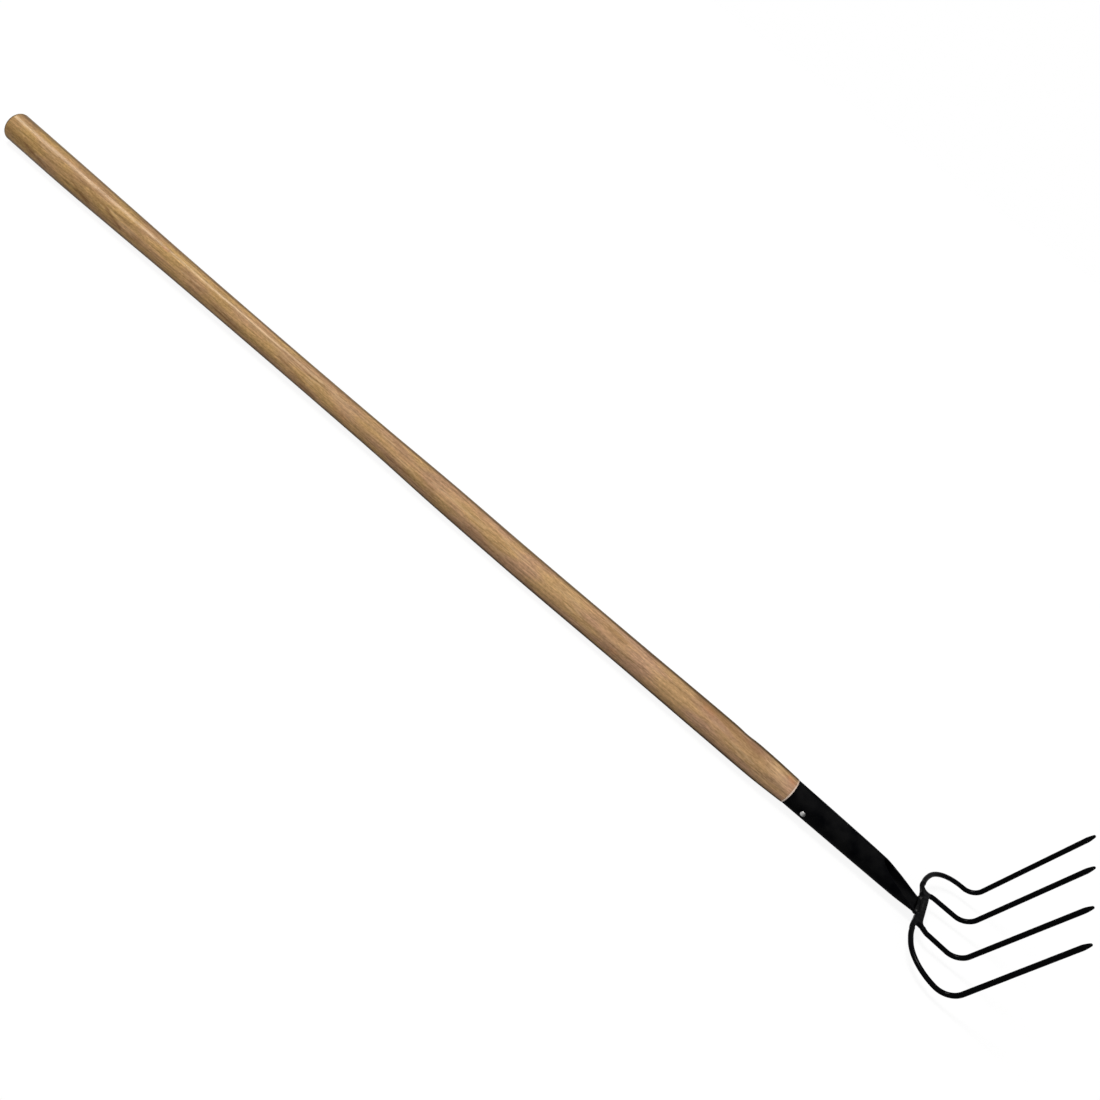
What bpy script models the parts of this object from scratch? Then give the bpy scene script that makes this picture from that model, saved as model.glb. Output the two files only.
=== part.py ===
"""A manure drag lying on its back: a long ash shaft, a rolled steel socket, and a head of four tines.

X runs along the shaft from the butt to the head, Y runs across the head, and Z is up, the way the
tines point. The origin is in the middle of the box round the tool, at floor level. All sizes are in
metres.

Places on the head are worked out from the shoulder point: the point in the tool's middle plane where
the lines of the arms and of the tines would meet if the bends between them were sharp.
"""

import math
from typing import NamedTuple

import bpy
import numpy as np

# Room left between pieces that touch on the real tool
GAP = 0.0003

# Shaft: a 54 in handle, a little short of its nominal length, as diameters at distances from the butt
SHAFT_LENGTH = 1.364
TENON_LENGTH = 0.121
SHAFT_STATIONS = (0.0, 0.105, 0.185, 0.275, 0.405, 0.555, 0.635, 0.725, 0.845, 1.025, 1.140, 1.210, 1.243)
SHAFT_DIAMETERS = (0.0379, 0.0376, 0.0358, 0.0334, 0.0317, 0.0313, 0.0320, 0.0347, 0.0352, 0.0347, 0.0354,
                   0.0345, 0.0316)
# The slight bow of the wood: how far its middle line leaves the straight one, and which way it leans
SHAFT_BOW = (0.0, 0.0010, 0.0012, 0.0013, 0.0015, 0.0016, 0.0016, 0.0020, 0.0025, 0.0013, 0.0006,
             0.0003, 0.0)
BOW_TURN = math.radians(50)
BUTT_ROUNDING = 0.004
SHAFT_RINGS = 28
SHAFT_SIDES = 28
TENON_RADIUS = 0.0127
TENON_TIP_RADIUS = 0.0099
TENON_CHAMFER = 0.0015

# Socket: steel sheet rolled round the tenon, with a seam along its front that opens in a long quill cut
MOUTH_TO_SHOULDER = 0.235
SOCKET_LENGTH = 0.1770
SOCKET_WALL = 0.0023
SOCKET_STATIONS = (0.0, 0.069, 0.113, 0.134, 0.154, 0.1770)
SOCKET_HALF_WIDTHS = (0.0154, 0.0145, 0.0139, 0.0137, 0.0136, 0.0135)
SOCKET_HALF_HEIGHTS = (0.0154, 0.0146, 0.0139, 0.0132, 0.0118, 0.0068)
SOCKET_DROPS = (0.0, 0.0004, 0.0008, 0.0012, 0.0020, 0.0042)
SEAM_HALF_ANGLE = math.radians(2.2)
QUILL_START = 0.119
QUILL_HALF_ANGLE = math.radians(90)
QUILL_POWER = 0.485
SOCKET_SEAM_RINGS = 6
SOCKET_QUILL_RINGS = 16
QUILL_RING_POWER = 1.8
SOCKET_SIDES = 28
# The mouth is cut a little askew: its right side, some way towards the top, lies nearest to the head
MOUTH_SLANT = 0.13
MOUTH_SLANT_TURN = math.radians(30)

# Rivet across the socket, a little turned from square to the seam
RIVET_FROM_MOUTH = 0.025
RIVET_TURN = math.radians(12)
RIVET_RADIUS = 0.0020
RIVET_HOLE_RADIUS = 0.0023
RIVET_HEAD_RADIUS = 0.0026
RIVET_HEAD_HEIGHT = 0.0012
RIVET_PEEN_RADIUS = 0.0029
RIVET_PEEN_HEIGHT = 0.0010
RIVET_SIDES = 16

# Head: round bars, with places along X and Y from the shoulder point
SHAFT_AXIS_RISE = 0.0064
ROD_RADIUS = 0.0029
ROD_SIDES = 12
# Under its weld collar the root of each bar is forged down
ROOT_RADIUS = 0.0023
ROOT_LENGTH = 0.0030
ROOT_STEP = 0.0003
TIP_TAPER = 0.015
TIP_RADIUS = 0.0009
BEND_STEPS = 10
ELBOW_STEPS = 7


class Bar(NamedTuple):
    """One tine's bar: where its straight stretches meet, and the radii of the two bends between them."""

    root: tuple
    corner: tuple
    bend: float
    elbow: tuple
    elbow_radius: float
    tip: tuple


# The four bars, bent by hand and so a little unlike. The right ones are given mirrored to the left.
BARS = {
    "outer_left": Bar(root=(-0.0598, 0.0405), corner=(-0.0496, 0.0987), bend=0.0504,
                      elbow=(0.0017, 0.0995), elbow_radius=0.0161, tip=(0.0391, 0.1045, 0.1498)),
    "inner_left": Bar(root=(-0.0480, 0.0297), corner=(-0.0434, 0.0321), bend=0.0060,
                      elbow=(0.0011, 0.0376), elbow_radius=0.0181, tip=(0.0402, 0.0382, 0.1506)),
    "inner_right": Bar(root=(-0.0473, 0.0319), corner=(-0.0415, 0.0349), bend=0.0060,
                       elbow=(0.0008, 0.0325), elbow_radius=0.0183, tip=(0.0409, 0.0387, 0.1515)),
    "outer_right": Bar(root=(-0.0579, 0.0440), corner=(-0.0514, 0.0989), bend=0.0410,
                       elbow=(0.0001, 0.1002), elbow_radius=0.0210, tip=(0.0411, 0.1045, 0.1519)),
}

# Yoke: a forged flat bar that forks at each end, in the plane of the arms' roots
YOKE_RISE = 0.0031
YOKE_THICKNESS = 0.0066
YOKE_ROUNDING = 0.0016
YOKE_REAR_X = -0.0570
YOKE_FRONT_X = -0.0490
YOKE_REAR_EASE = 0.009
# Beside the socket's nose the rear edge steps back, further on the left than on the right
YOKE_STEP_START = 0.0172
YOKE_STEP_EASE = 0.0015
YOKE_STEP_POINTS = 4
YOKE_STEP_LEFT = (-0.0598, 0.0225)
YOKE_STEP_RIGHT = (-0.0582, 0.0215)
YOKE_FRONT_STRAIGHT = 0.014
YOKE_FRONT_EASE = 0.003
LOBE_HALF_WIDTH = 0.0028
LOBE_EASE = 0.006
CROTCH_EASE = (0.0080, 0.0056)
OUTLINE_STEPS = 7

# Welds: a collar round each tine's root, and a bead from the socket's nose to the yoke
COLLAR_START = GAP
ROOT_START = 0.0005
COLLAR_STATIONS = (0.0, 0.0006, 0.0013, 0.0021, 0.0029)
COLLAR_RADII = (0.0030, 0.0032, 0.0033, 0.0032, 0.0030)
COLLAR_SIDES = 12
BEAD_HALF_ANGLE = math.radians(96)
# Towards its two ends the bead swells and fills the corners between the nose's sides and the yoke
BEAD_SWELL_START = math.radians(55)
BEAD_SWELL_END = math.radians(85)
BEAD_SWELL = 0.0022
BEAD_ROOT_DEPTH = 0.0020
BEAD_SPINE_DEPTH = 0.0020
BEAD_LEG = 0.0014
BEAD_CROWN = 0.0011
BEAD_SHOULDER = 0.0006
BEAD_LIFT = 0.0004
BEAD_STEPS = 20

# Places in the tool's own frame, worked out from the sizes above
BUTT_TO_SHOULDER = SHAFT_LENGTH - TENON_LENGTH + MOUTH_TO_SHOULDER
TIP_REACH = max(bar.tip[0] for bar in BARS.values()) + TIP_RADIUS
SHOULDER_X = (BUTT_TO_SHOULDER - TIP_REACH) / 2
BUTT_X = SHOULDER_X - BUTT_TO_SHOULDER
MOUTH_X = SHOULDER_X - MOUTH_TO_SHOULDER
AXIS_Z = max(d / 2 + bow * math.sin(BOW_TURN) for d, bow in zip(SHAFT_DIAMETERS, SHAFT_BOW))
SHOULDER_Z = AXIS_Z - SHAFT_AXIS_RISE
NOSE_X = MOUTH_X + SOCKET_LENGTH


def clear_scene():
    """Removes every object of the scene that the file opened with."""
    for obj in list(bpy.data.objects):
        bpy.data.objects.remove(obj, do_unlink=True)


def material(name, color, roughness, metallic):
    """A plain material of one colour."""
    made = bpy.data.materials.new(name)
    made.use_nodes = True
    shader = made.node_tree.nodes["Principled BSDF"]
    shader.inputs["Base Color"].default_value = (*color, 1)
    shader.inputs["Roughness"].default_value = roughness
    shader.inputs["Metallic"].default_value = metallic
    return made


def add_object(name, points, faces, finish):
    """Makes a named mesh object, shaded smooth except at sharp edges."""
    mesh = bpy.data.meshes.new(name)
    mesh.from_pydata([tuple(p) for p in points], [], faces)
    mesh.materials.append(finish)
    mesh.shade_smooth()
    mesh.set_sharp_from_angle(angle=math.radians(35))
    obj = bpy.data.objects.new(name, mesh)
    bpy.context.scene.collection.objects.link(obj)
    return obj


def smooth_curve(stations, values, at):
    """Reads a smooth curve through the values, in cubic pieces whose slopes follow the neighbours."""
    stations = np.asarray(stations, float)
    values = np.asarray(values, float)
    at = np.asarray(at, float)
    slopes = np.gradient(values, stations)
    k = np.clip(np.searchsorted(stations, at) - 1, 0, len(stations) - 2)
    width = stations[k + 1] - stations[k]
    t = (at - stations[k]) / width
    start = (2 * t**3 - 3 * t**2 + 1) * values[k] + (t**3 - 2 * t**2 + t) * width * slopes[k]
    end = (3 * t**2 - 2 * t**3) * values[k + 1] + (t**3 - t**2) * width * slopes[k + 1]
    return start + end


def loft(rings):
    """Joins closed rings of equal count into one skin, with a flat cap on the first and the last."""
    count, sides = len(rings), len(rings[0])
    points = np.concatenate(rings)
    faces = []
    for i in range(count - 1):
        for j in range(sides):
            k = (j + 1) % sides
            faces.append((i * sides + j, i * sides + k, (i + 1) * sides + k, (i + 1) * sides + j))
    faces.append(tuple(range(sides - 1, -1, -1)))
    faces.append(tuple(range((count - 1) * sides, count * sides)))
    return points, faces


def turned(stations, radii, sides):
    """A solid of revolution about X: one ring at each station."""
    angle = np.linspace(0, 2 * math.pi, sides, endpoint=False) - math.pi / 2
    rings = []
    for x, r in zip(stations, radii):
        rings.append(np.stack([np.full(sides, x), r * np.cos(angle), r * np.sin(angle)], axis=1))
    return loft(rings)


def rounded_path(corners, radii, steps):
    """A line from the first corner to the last, with an arc of its own radius at each one between."""
    corners = [np.array(c, float) for c in corners]
    path = [corners[0]]
    for before, corner, after, radius, count in zip(corners, corners[1:], corners[2:], radii, steps):
        back = (before - corner) / np.linalg.norm(before - corner)
        ahead = (after - corner) / np.linalg.norm(after - corner)
        half = math.acos(np.clip(back @ ahead, -1, 1)) / 2
        middle = (back + ahead) / np.linalg.norm(back + ahead)
        centre = corner + middle * radius / math.sin(half)
        start = corner + back * radius / math.tan(half) - centre
        end = corner + ahead * radius / math.tan(half) - centre
        sweep = math.pi - 2 * half
        for t in np.linspace(0, 1, count):
            blend = math.sin((1 - t) * sweep) * start + math.sin(t * sweep) * end
            path.append(centre + blend / math.sin(sweep))
    path.append(corners[-1])
    return np.array(path)


def tube(path, radii, sides):
    """A round bar along a path. Each ring is turned as little as it can be from the last one."""
    ahead = np.diff(path, axis=0)
    ahead /= np.linalg.norm(ahead, axis=1)[:, None]
    tangents = np.concatenate([ahead[:1], ahead[:-1] + ahead[1:], ahead[-1:]])
    tangents /= np.linalg.norm(tangents, axis=1)[:, None]
    side = np.cross(tangents[0], (0.0, 0.0, 1.0))
    if np.linalg.norm(side) < 0.1:
        side = np.cross(tangents[0], (0.0, 1.0, 0.0))
    angle = np.linspace(0, 2 * math.pi, sides, endpoint=False)
    rings = []
    for point, tangent, radius in zip(path, tangents, radii):
        side = side - tangent * (side @ tangent)
        side /= np.linalg.norm(side)
        up = np.cross(side, tangent)
        offset = np.outer(np.cos(angle), side) + np.outer(np.sin(angle), -up)
        rings.append(point + radius * offset)
    return loft(rings)


def shoulder_point(x, y, z):
    """A place given from the shoulder point, in the tool's own frame."""
    return np.array([SHOULDER_X + x, y, SHOULDER_Z + z])


def cylinder_cutter(name, centre, direction, radius, length):
    """A hidden helper that cuts a round hole."""
    angle = np.linspace(0, 2 * math.pi, RIVET_SIDES, endpoint=False)
    direction = np.array(direction, float)
    side = np.cross(direction, (1.0, 0.0, 0.0))
    up = np.cross(direction, side)
    ring = radius * (np.outer(np.cos(angle), side) + np.outer(np.sin(angle), up))
    ends = [centre - direction * length / 2 + ring, centre + direction * length / 2 + ring]
    points, faces = loft(ends)
    cutter = add_object(name, points, faces, bpy.data.materials[0])
    cutter.hide_render = True
    cutter.display_type = "WIRE"
    return cutter


def cut(obj, cutter):
    """Takes the cutter's shape away from the object."""
    hole = obj.modifiers.new("hole", "BOOLEAN")
    hole.operation = "DIFFERENCE"
    hole.solver = "EXACT"
    hole.object = cutter


def slant(points):
    """Moves points of the mouth's plane along the shaft, so that this plane lies askew."""
    up = (points[:, 2] - AXIS_Z) * math.sin(MOUTH_SLANT_TURN)
    right = -points[:, 1] * math.cos(MOUTH_SLANT_TURN)
    points[:, 0] += MOUTH_SLANT * (up + right)


def build_shaft(finish):
    """The turned shaft: a rounded butt, the handle, a shoulder at the socket's mouth and the tenon."""
    grip_length = SHAFT_LENGTH - TENON_LENGTH
    angle = np.linspace(0, math.pi / 2, 6)
    butt_radius = SHAFT_DIAMETERS[0] / 2
    round_x = BUTT_ROUNDING * (1 - np.sin(angle))[::-1]
    round_r = butt_radius - BUTT_ROUNDING * (1 - np.cos(angle))[::-1]
    along = np.linspace(BUTT_ROUNDING, grip_length - GAP, SHAFT_RINGS)[1:]
    handle_r = smooth_curve(SHAFT_STATIONS, SHAFT_DIAMETERS, along) / 2
    tenon_x = (grip_length - GAP, SHAFT_LENGTH - TENON_CHAMFER, SHAFT_LENGTH)
    tenon_r = (TENON_RADIUS, TENON_TIP_RADIUS, TENON_TIP_RADIUS - TENON_CHAMFER)
    stations = BUTT_X + np.concatenate([round_x, along, tenon_x])
    radii = np.concatenate([round_r, handle_r, tenon_r])
    points, faces = turned(stations, radii, SHAFT_SIDES)
    grip_share = np.minimum(points[:, 0] - BUTT_X, grip_length)
    bow = smooth_curve(SHAFT_STATIONS, SHAFT_BOW, grip_share)
    points[:, 1] -= bow * math.cos(BOW_TURN)
    points[:, 2] += AXIS_Z - bow * math.sin(BOW_TURN)
    shoulder = (len(round_x) + len(along) - 1) * SHAFT_SIDES
    slant(points[shoulder:shoulder + 2 * SHAFT_SIDES])
    return add_object("shaft", points, faces, finish)


def socket_section(distance):
    """Half width, half height, centre height and half opening at a distance from the socket's mouth."""
    half_width = smooth_curve(SOCKET_STATIONS, SOCKET_HALF_WIDTHS, distance)
    half_height = smooth_curve(SOCKET_STATIONS, SOCKET_HALF_HEIGHTS, distance)
    centre = AXIS_Z - smooth_curve(SOCKET_STATIONS, SOCKET_DROPS, distance)
    share = max(distance - QUILL_START, 0) / (SOCKET_LENGTH - QUILL_START)
    opening = SEAM_HALF_ANGLE + (QUILL_HALF_ANGLE - SEAM_HALF_ANGLE) * share**QUILL_POWER
    return half_width, half_height, centre, opening


def build_socket(finish):
    """The rolled socket: at each station an open ring of sheet, from lip to lip of its seam."""
    seam = np.linspace(0, QUILL_START, SOCKET_SEAM_RINGS)
    quill_shares = np.linspace(0, 1, SOCKET_QUILL_RINGS)[1:] ** QUILL_RING_POWER
    quill = QUILL_START + (SOCKET_LENGTH - QUILL_START) * quill_shares
    rings = []
    for distance in np.concatenate([seam, quill]):
        half_width, half_height, centre, opening = socket_section(distance)
        angle = np.linspace(opening, 2 * math.pi - opening, SOCKET_SIDES + 1)
        x = np.full(len(angle), MOUTH_X + distance)
        outer = np.stack([x, half_width * np.sin(angle), centre + half_height * np.cos(angle)], axis=1)
        inner_y = (half_width - SOCKET_WALL) * np.sin(angle)
        inner_z = centre + (half_height - SOCKET_WALL) * np.cos(angle)
        inner = np.stack([x, inner_y, inner_z], axis=1)
        rings.append(np.concatenate([outer, inner[::-1]]))
    points, faces = loft(rings)
    sides = len(rings[0])
    slant(points[:sides])
    last = len(points) - sides
    end_faces = []
    for j in range(SOCKET_SIDES):
        a, b, c, d = j, j + 1, sides - 2 - j, sides - 1 - j
        end_faces.append((d, c, b, a))
        end_faces.append((last + a, last + b, last + c, last + d))
    return add_object("socket", points, faces[:-2] + end_faces, finish)


def rivet_axis():
    """The middle of the rivet and the way its head points: to the right side, and a little down."""
    middle = np.array([MOUTH_X + RIVET_FROM_MOUTH, 0, AXIS_Z])
    direction = np.array([0, -math.cos(RIVET_TURN), -math.sin(RIVET_TURN)])
    return middle, direction


def build_rivet(finish):
    """The rivet: a domed head, a shank across the socket, and a peened end."""
    half_width, _, _, _ = socket_section(RIVET_FROM_MOUTH)
    seat = float(half_width) + GAP
    angle = np.linspace(0, math.pi / 2, 6)
    peen_x = -seat - RIVET_PEEN_HEIGHT * np.cos(angle)
    peen_r = RIVET_PEEN_RADIUS * np.sin(angle) + 0.0002
    head_x = seat + RIVET_HEAD_HEIGHT * np.sin(angle)
    head_r = RIVET_HEAD_RADIUS * np.cos(angle) + 0.0002
    stations = np.concatenate([peen_x, (-seat, seat), head_x])
    radii = np.concatenate([peen_r, (RIVET_RADIUS, RIVET_RADIUS), head_r])
    points, faces = turned(stations, radii, RIVET_SIDES)
    middle, direction = rivet_axis()
    side = np.array([1.0, 0.0, 0.0])
    up = np.cross(direction, side)
    turn = np.stack([direction, side, up])
    return add_object("socket_rivet", middle + points @ turn, faces, finish)


def bezier(start, pull_a, pull_b, end, steps):
    """A curve from start to end that sets out towards pull_a and comes in from pull_b."""
    t = np.linspace(0, 1, steps)[:, None]
    corners = [np.array(p, float) for p in (start, pull_a, pull_b, end)]
    weights = ((1 - t) ** 3, 3 * t * (1 - t) ** 2, 3 * t**2 * (1 - t), t**3)
    return sum(w * c for w, c in zip(weights, corners))


def root_direction(bar):
    """The way a bar leaves the yoke, across the plane of the arms."""
    along = np.subtract(bar.corner, bar.root)
    return along / np.linalg.norm(along)


def lobe_corners(bar):
    """The two corners of a fork lobe's end face, and the way the lobe points."""
    ahead = root_direction(bar)
    left = np.array([-ahead[1], ahead[0]]) * LOBE_HALF_WIDTH
    return bar.root + left, bar.root - left, ahead


def stepped_rear(end):
    """The smooth step of the rear edge, beside the nose, back to its end."""
    start = np.array((YOKE_REAR_X, YOKE_STEP_START))
    end = np.array(end)
    ease = np.array((0, YOKE_STEP_EASE))
    return bezier(start, start + ease, end - ease, end, YOKE_STEP_POINTS)


def yoke_half_outline(outer, inner, rear):
    """Half the yoke's outline: from the middle of its rear edge, round its two lobes, to its front."""
    outer_left, outer_right, outer_ahead = lobe_corners(outer)
    inner_left, inner_right, inner_ahead = lobe_corners(inner)
    rear_pull = rear[-1] + (0, YOKE_REAR_EASE)
    sweep = bezier(rear[-1], rear_pull, outer_left - outer_ahead * LOBE_EASE, outer_left, OUTLINE_STEPS)
    outer_pull = outer_right - outer_ahead * CROTCH_EASE[0]
    inner_pull = inner_left - inner_ahead * CROTCH_EASE[1]
    crotch = bezier(outer_right, outer_pull, inner_pull, inner_left, OUTLINE_STEPS)
    front_end = (YOKE_FRONT_X, YOKE_FRONT_STRAIGHT)
    front_pull = (YOKE_FRONT_X, YOKE_FRONT_STRAIGHT + LOBE_EASE)
    lobe_pull = inner_right - inner_ahead * YOKE_FRONT_EASE
    front = bezier(inner_right, lobe_pull, front_pull, front_end, OUTLINE_STEPS)
    return np.concatenate([rear[:-1], sweep, crotch, front])


def build_yoke(finish):
    """The forged yoke: its outline, the right half mirrored, given its thickness and rounded edges."""
    left = yoke_half_outline(BARS["outer_left"], BARS["inner_left"], stepped_rear(YOKE_STEP_LEFT))
    right_rear = stepped_rear(YOKE_STEP_RIGHT)
    right = yoke_half_outline(BARS["outer_right"], BARS["inner_right"], right_rear) * (1, -1)
    outline = np.concatenate([left, right[::-1]])
    rings = []
    for z in (YOKE_RISE - YOKE_THICKNESS / 2, YOKE_RISE + YOKE_THICKNESS / 2):
        level = np.full(len(outline), z)
        rings.append(np.column_stack([outline, level]) + (SHOULDER_X, 0, SHOULDER_Z))
    points, faces = loft([ring[::-1] for ring in rings])
    yoke = add_object("yoke", points, faces, finish)
    edges = yoke.modifiers.new("rounded edges", "BEVEL")
    edges.width = YOKE_ROUNDING
    edges.segments = 3
    edges.limit_method = "ANGLE"
    edges.angle_limit = math.radians(50)
    return yoke


def arm_height(x, root):
    """The height of an arm's middle line: it falls evenly from the yoke's height at its root to 0."""
    return YOKE_RISE * x / root[0]


def root_start(bar, distance):
    """The point on an arm's middle line at a distance past its lobe's end face, before mirroring."""
    x, y = bar.root + root_direction(bar) * distance
    return shoulder_point(x, y, YOKE_RISE)


def tine_path(bar):
    """The middle line of a bar on the left, from its root at the yoke to its tip."""
    start = root_start(bar, ROOT_START)
    corner = shoulder_point(*bar.corner, arm_height(bar.corner[0], bar.root))
    elbow = shoulder_point(*bar.elbow, 0)
    tip = shoulder_point(*bar.tip)
    radii = (bar.bend, bar.elbow_radius)
    path = rounded_path((start, corner, elbow, tip), radii, (BEND_STEPS, ELBOW_STEPS))
    ahead = (path[1] - start) / np.linalg.norm(path[1] - start)
    neck = start + np.outer((ROOT_LENGTH, ROOT_LENGTH + ROOT_STEP), ahead)
    return np.concatenate([path[:1], neck, path[1:]])


def with_tip(path):
    """Adds the rings of the forged point, a swelling taper to a small blunt end, and gives all the radii."""
    tip = path[-1]
    back = (path[-2] - tip) / np.linalg.norm(path[-2] - tip)
    shares = np.array([1, 0.75, 0.5, 0.25, 0.08, 0])
    taper = tip + back * (shares * TIP_TAPER)[:, None]
    tip_radii = TIP_RADIUS + (ROD_RADIUS - TIP_RADIUS) * np.sin(shares * math.pi / 2)
    tip_radii[-1] = TIP_RADIUS / 2
    root_radii = np.full(2, ROOT_RADIUS)
    radii = np.concatenate([root_radii, np.full(len(path) - 3, ROD_RADIUS), tip_radii])
    return np.concatenate([path[:-1], taper]), radii


def build_tine(name, bar, side, finish):
    """One tine with its arm. Side is 1 for the left and -1 for the right."""
    path, radii = with_tip(tine_path(bar))
    points, faces = tube(path * (1, side, 1), radii, ROD_SIDES)
    return add_object(name, points, faces, finish)


def build_collar(name, bar, side, finish):
    """The weld collar round a tine's root: a ring that bulges near the yoke and thins out along it."""
    flip = np.array([1, side, 1])
    start = root_start(bar, COLLAR_START) * flip
    ahead = np.array([*root_direction(bar), 0]) * flip
    across = np.cross((0, 0, 1), ahead)
    angle = np.linspace(0, 2 * math.pi, COLLAR_SIDES, endpoint=False)
    ring = np.outer(np.cos(angle), across) + np.outer(np.sin(angle), (0, 0, 1))
    bore = ROOT_RADIUS + GAP
    stations = (*COLLAR_STATIONS, COLLAR_STATIONS[-1], COLLAR_STATIONS[0])
    radii = (*COLLAR_RADII, bore, bore)
    points = np.concatenate([start + ahead * s + ring * r for s, r in zip(stations, radii)])
    faces = []
    for i in range(len(stations)):
        n = (i + 1) % len(stations)
        for j in range(COLLAR_SIDES):
            k = (j + 1) % COLLAR_SIDES
            a, b = i * COLLAR_SIDES, n * COLLAR_SIDES
            faces.append((a + j, a + k, b + k, b + j))
    return add_object(name, points, faces, finish)


def build_neck_weld(finish):
    """The bead from the nose of the socket to the yoke: it runs round the nose's end from lip to lip."""
    half_width, half_height, centre, _ = socket_section(SOCKET_LENGTH)
    yoke_x = SHOULDER_X + YOKE_REAR_X
    front = yoke_x - GAP
    back = NOSE_X + GAP
    rings = []
    for angle in np.linspace(-BEAD_HALF_ANGLE, BEAD_HALF_ANGLE, BEAD_STEPS):
        depth = BEAD_ROOT_DEPTH + BEAD_SPINE_DEPTH * math.cos(angle) ** 2
        share = (abs(angle) - BEAD_SWELL_START) / (BEAD_SWELL_END - BEAD_SWELL_START)
        swell = BEAD_SWELL * min(max(share, 0), 1)
        crown = BEAD_CROWN + swell
        leg = back - BEAD_LEG - swell
        profile = ((back, -depth), (front, -depth), (front, crown - BEAD_SHOULDER),
                   (front - BEAD_SHOULDER, crown), (back - swell / 2, BEAD_CROWN + swell / 2),
                   (leg, BEAD_CROWN / 2), (leg, BEAD_LIFT), (back, BEAD_LIFT))
        on_nose = np.array([0, half_width * math.sin(angle), centre - half_height * math.cos(angle)])
        normal = np.array([0, half_height * math.sin(angle), -half_width * math.cos(angle)])
        normal /= np.linalg.norm(normal)
        rings.append(np.array([on_nose + normal * h + (x, 0, 0) for x, h in profile]))
    points, faces = loft(rings)
    return add_object("neck_weld", points, faces, finish)


def main():
    """Builds every piece of the tool."""
    clear_scene()
    ash = material("ash", (0.45, 0.28, 0.14), 0.45, 0)
    black_socket = material("black socket", (0.012, 0.012, 0.013), 0.38, 0)
    black_yoke = material("black yoke", (0.014, 0.014, 0.015), 0.36, 0)
    black_tines = material("black tines", (0.013, 0.013, 0.014), 0.34, 0)
    black_welds = material("black welds", (0.016, 0.016, 0.017), 0.45, 0)
    bright = material("bright steel", (0.62, 0.61, 0.58), 0.3, 1)

    shaft = build_shaft(ash)
    socket = build_socket(black_socket)
    middle, direction = rivet_axis()
    reach = SHAFT_DIAMETERS[0] * 1.5
    hole = cylinder_cutter("rivet_hole_cutter", middle, direction, RIVET_HOLE_RADIUS, reach)
    cut(shaft, hole)
    cut(socket, hole)
    build_rivet(bright)
    build_yoke(black_yoke)
    for place, bar in BARS.items():
        side = 1 if place.endswith("left") else -1
        build_tine(f"tine_{place}", bar, side, black_tines)
        build_collar(f"weld_{place}", bar, side, black_welds)
    build_neck_weld(black_welds)


main()
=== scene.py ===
"""Looks of the manure drag: an ash shaft in a rolled black socket, and a black head with four round tines.

X runs along the shaft from the butt to the head, Y across the head to its left, and Z up, the way the tines
point, in metres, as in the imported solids. Places on the head are given from the shoulder point: the point in
the tool's middle plane where the lines of the arms and of the tines would meet if their bends were sharp.
"""

import logging
import math
from dataclasses import dataclass
from enum import Enum
from typing import Optional, Union

import bpy
import numpy as np
from mathutils import Matrix, Vector


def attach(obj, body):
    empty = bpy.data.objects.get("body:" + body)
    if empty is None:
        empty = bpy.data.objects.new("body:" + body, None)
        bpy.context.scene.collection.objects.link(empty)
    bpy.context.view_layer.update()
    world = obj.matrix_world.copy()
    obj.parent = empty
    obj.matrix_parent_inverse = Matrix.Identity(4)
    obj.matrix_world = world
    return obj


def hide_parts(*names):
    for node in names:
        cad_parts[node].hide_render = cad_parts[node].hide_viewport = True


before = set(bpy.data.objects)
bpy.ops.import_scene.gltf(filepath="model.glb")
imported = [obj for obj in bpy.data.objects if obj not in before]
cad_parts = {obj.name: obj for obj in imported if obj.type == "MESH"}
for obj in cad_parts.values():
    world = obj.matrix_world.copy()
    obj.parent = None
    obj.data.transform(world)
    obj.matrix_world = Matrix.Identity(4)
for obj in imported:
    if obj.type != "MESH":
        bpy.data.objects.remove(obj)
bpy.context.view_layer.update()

LOG = logging.getLogger("manure_drag")

# What a node gives, and what a node can take
Output = bpy.types.NodeSocket
Source = Union[Output, float, tuple]

# Places that several pieces share
AXIS_Z = 0.019566
SHOULDER = np.array([0.718, 0.0, 0.013166])
BUTT_X = -0.760
MOUTH_X = 0.483

# How high over the shoulder point the middle of the yoke and of the bars' roots lies
ROOT_RISE = 0.0031

# The socket's mouth is cut askew: how much, and which side of it lies nearest to the head
MOUTH_SLANT = 0.13
MOUTH_SLANT_TURN = math.radians(30)

# Edges that turn by more than this stay sharp
SMOOTH_LIMIT = math.radians(50)

# The Mix node's sockets for colours: the share, the two colours, and the result
MIX_INPUTS = (0, 6, 7)
MIX_OUTPUT = 2

# The operations on vectors whose result is a number
MEASURES = ("LENGTH", "DOT_PRODUCT")

# Ripples: the spread of the waves' lengths, and what brings their mean back to about 1
WAVE_SPREAD = (0.7, 1.4)
WAVE_GAIN = 1.6


class Slot(Enum):
    """The record's material slots."""

    ASH = "ash"
    SOCKET_PAINT = "socket_paint"
    HEAD_PAINT = "head_paint"
    WELD_PAINT = "weld_paint"
    RIVET_STEEL = "rivet_steel"


class Side(Enum):
    """The side of the head that a bar stands on, as the sign of its Y."""

    LEFT = 1
    RIGHT = -1


class Mark(Enum):
    """The kinds of mark in the wood, as channels of the shaft's colour attribute."""

    # Paler grain, and painted highlight streaks of the oil's sheen
    PALE_AND_SHEEN = 0
    BROWN = 1
    RUST = 2


# Shapes as whole arrays


@dataclass
class Skin:
    """A closed surface: its points, its faces as rows of point numbers, and its points' marks as colours."""

    points: np.ndarray
    faces: list
    marks: Optional[np.ndarray] = None


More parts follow.
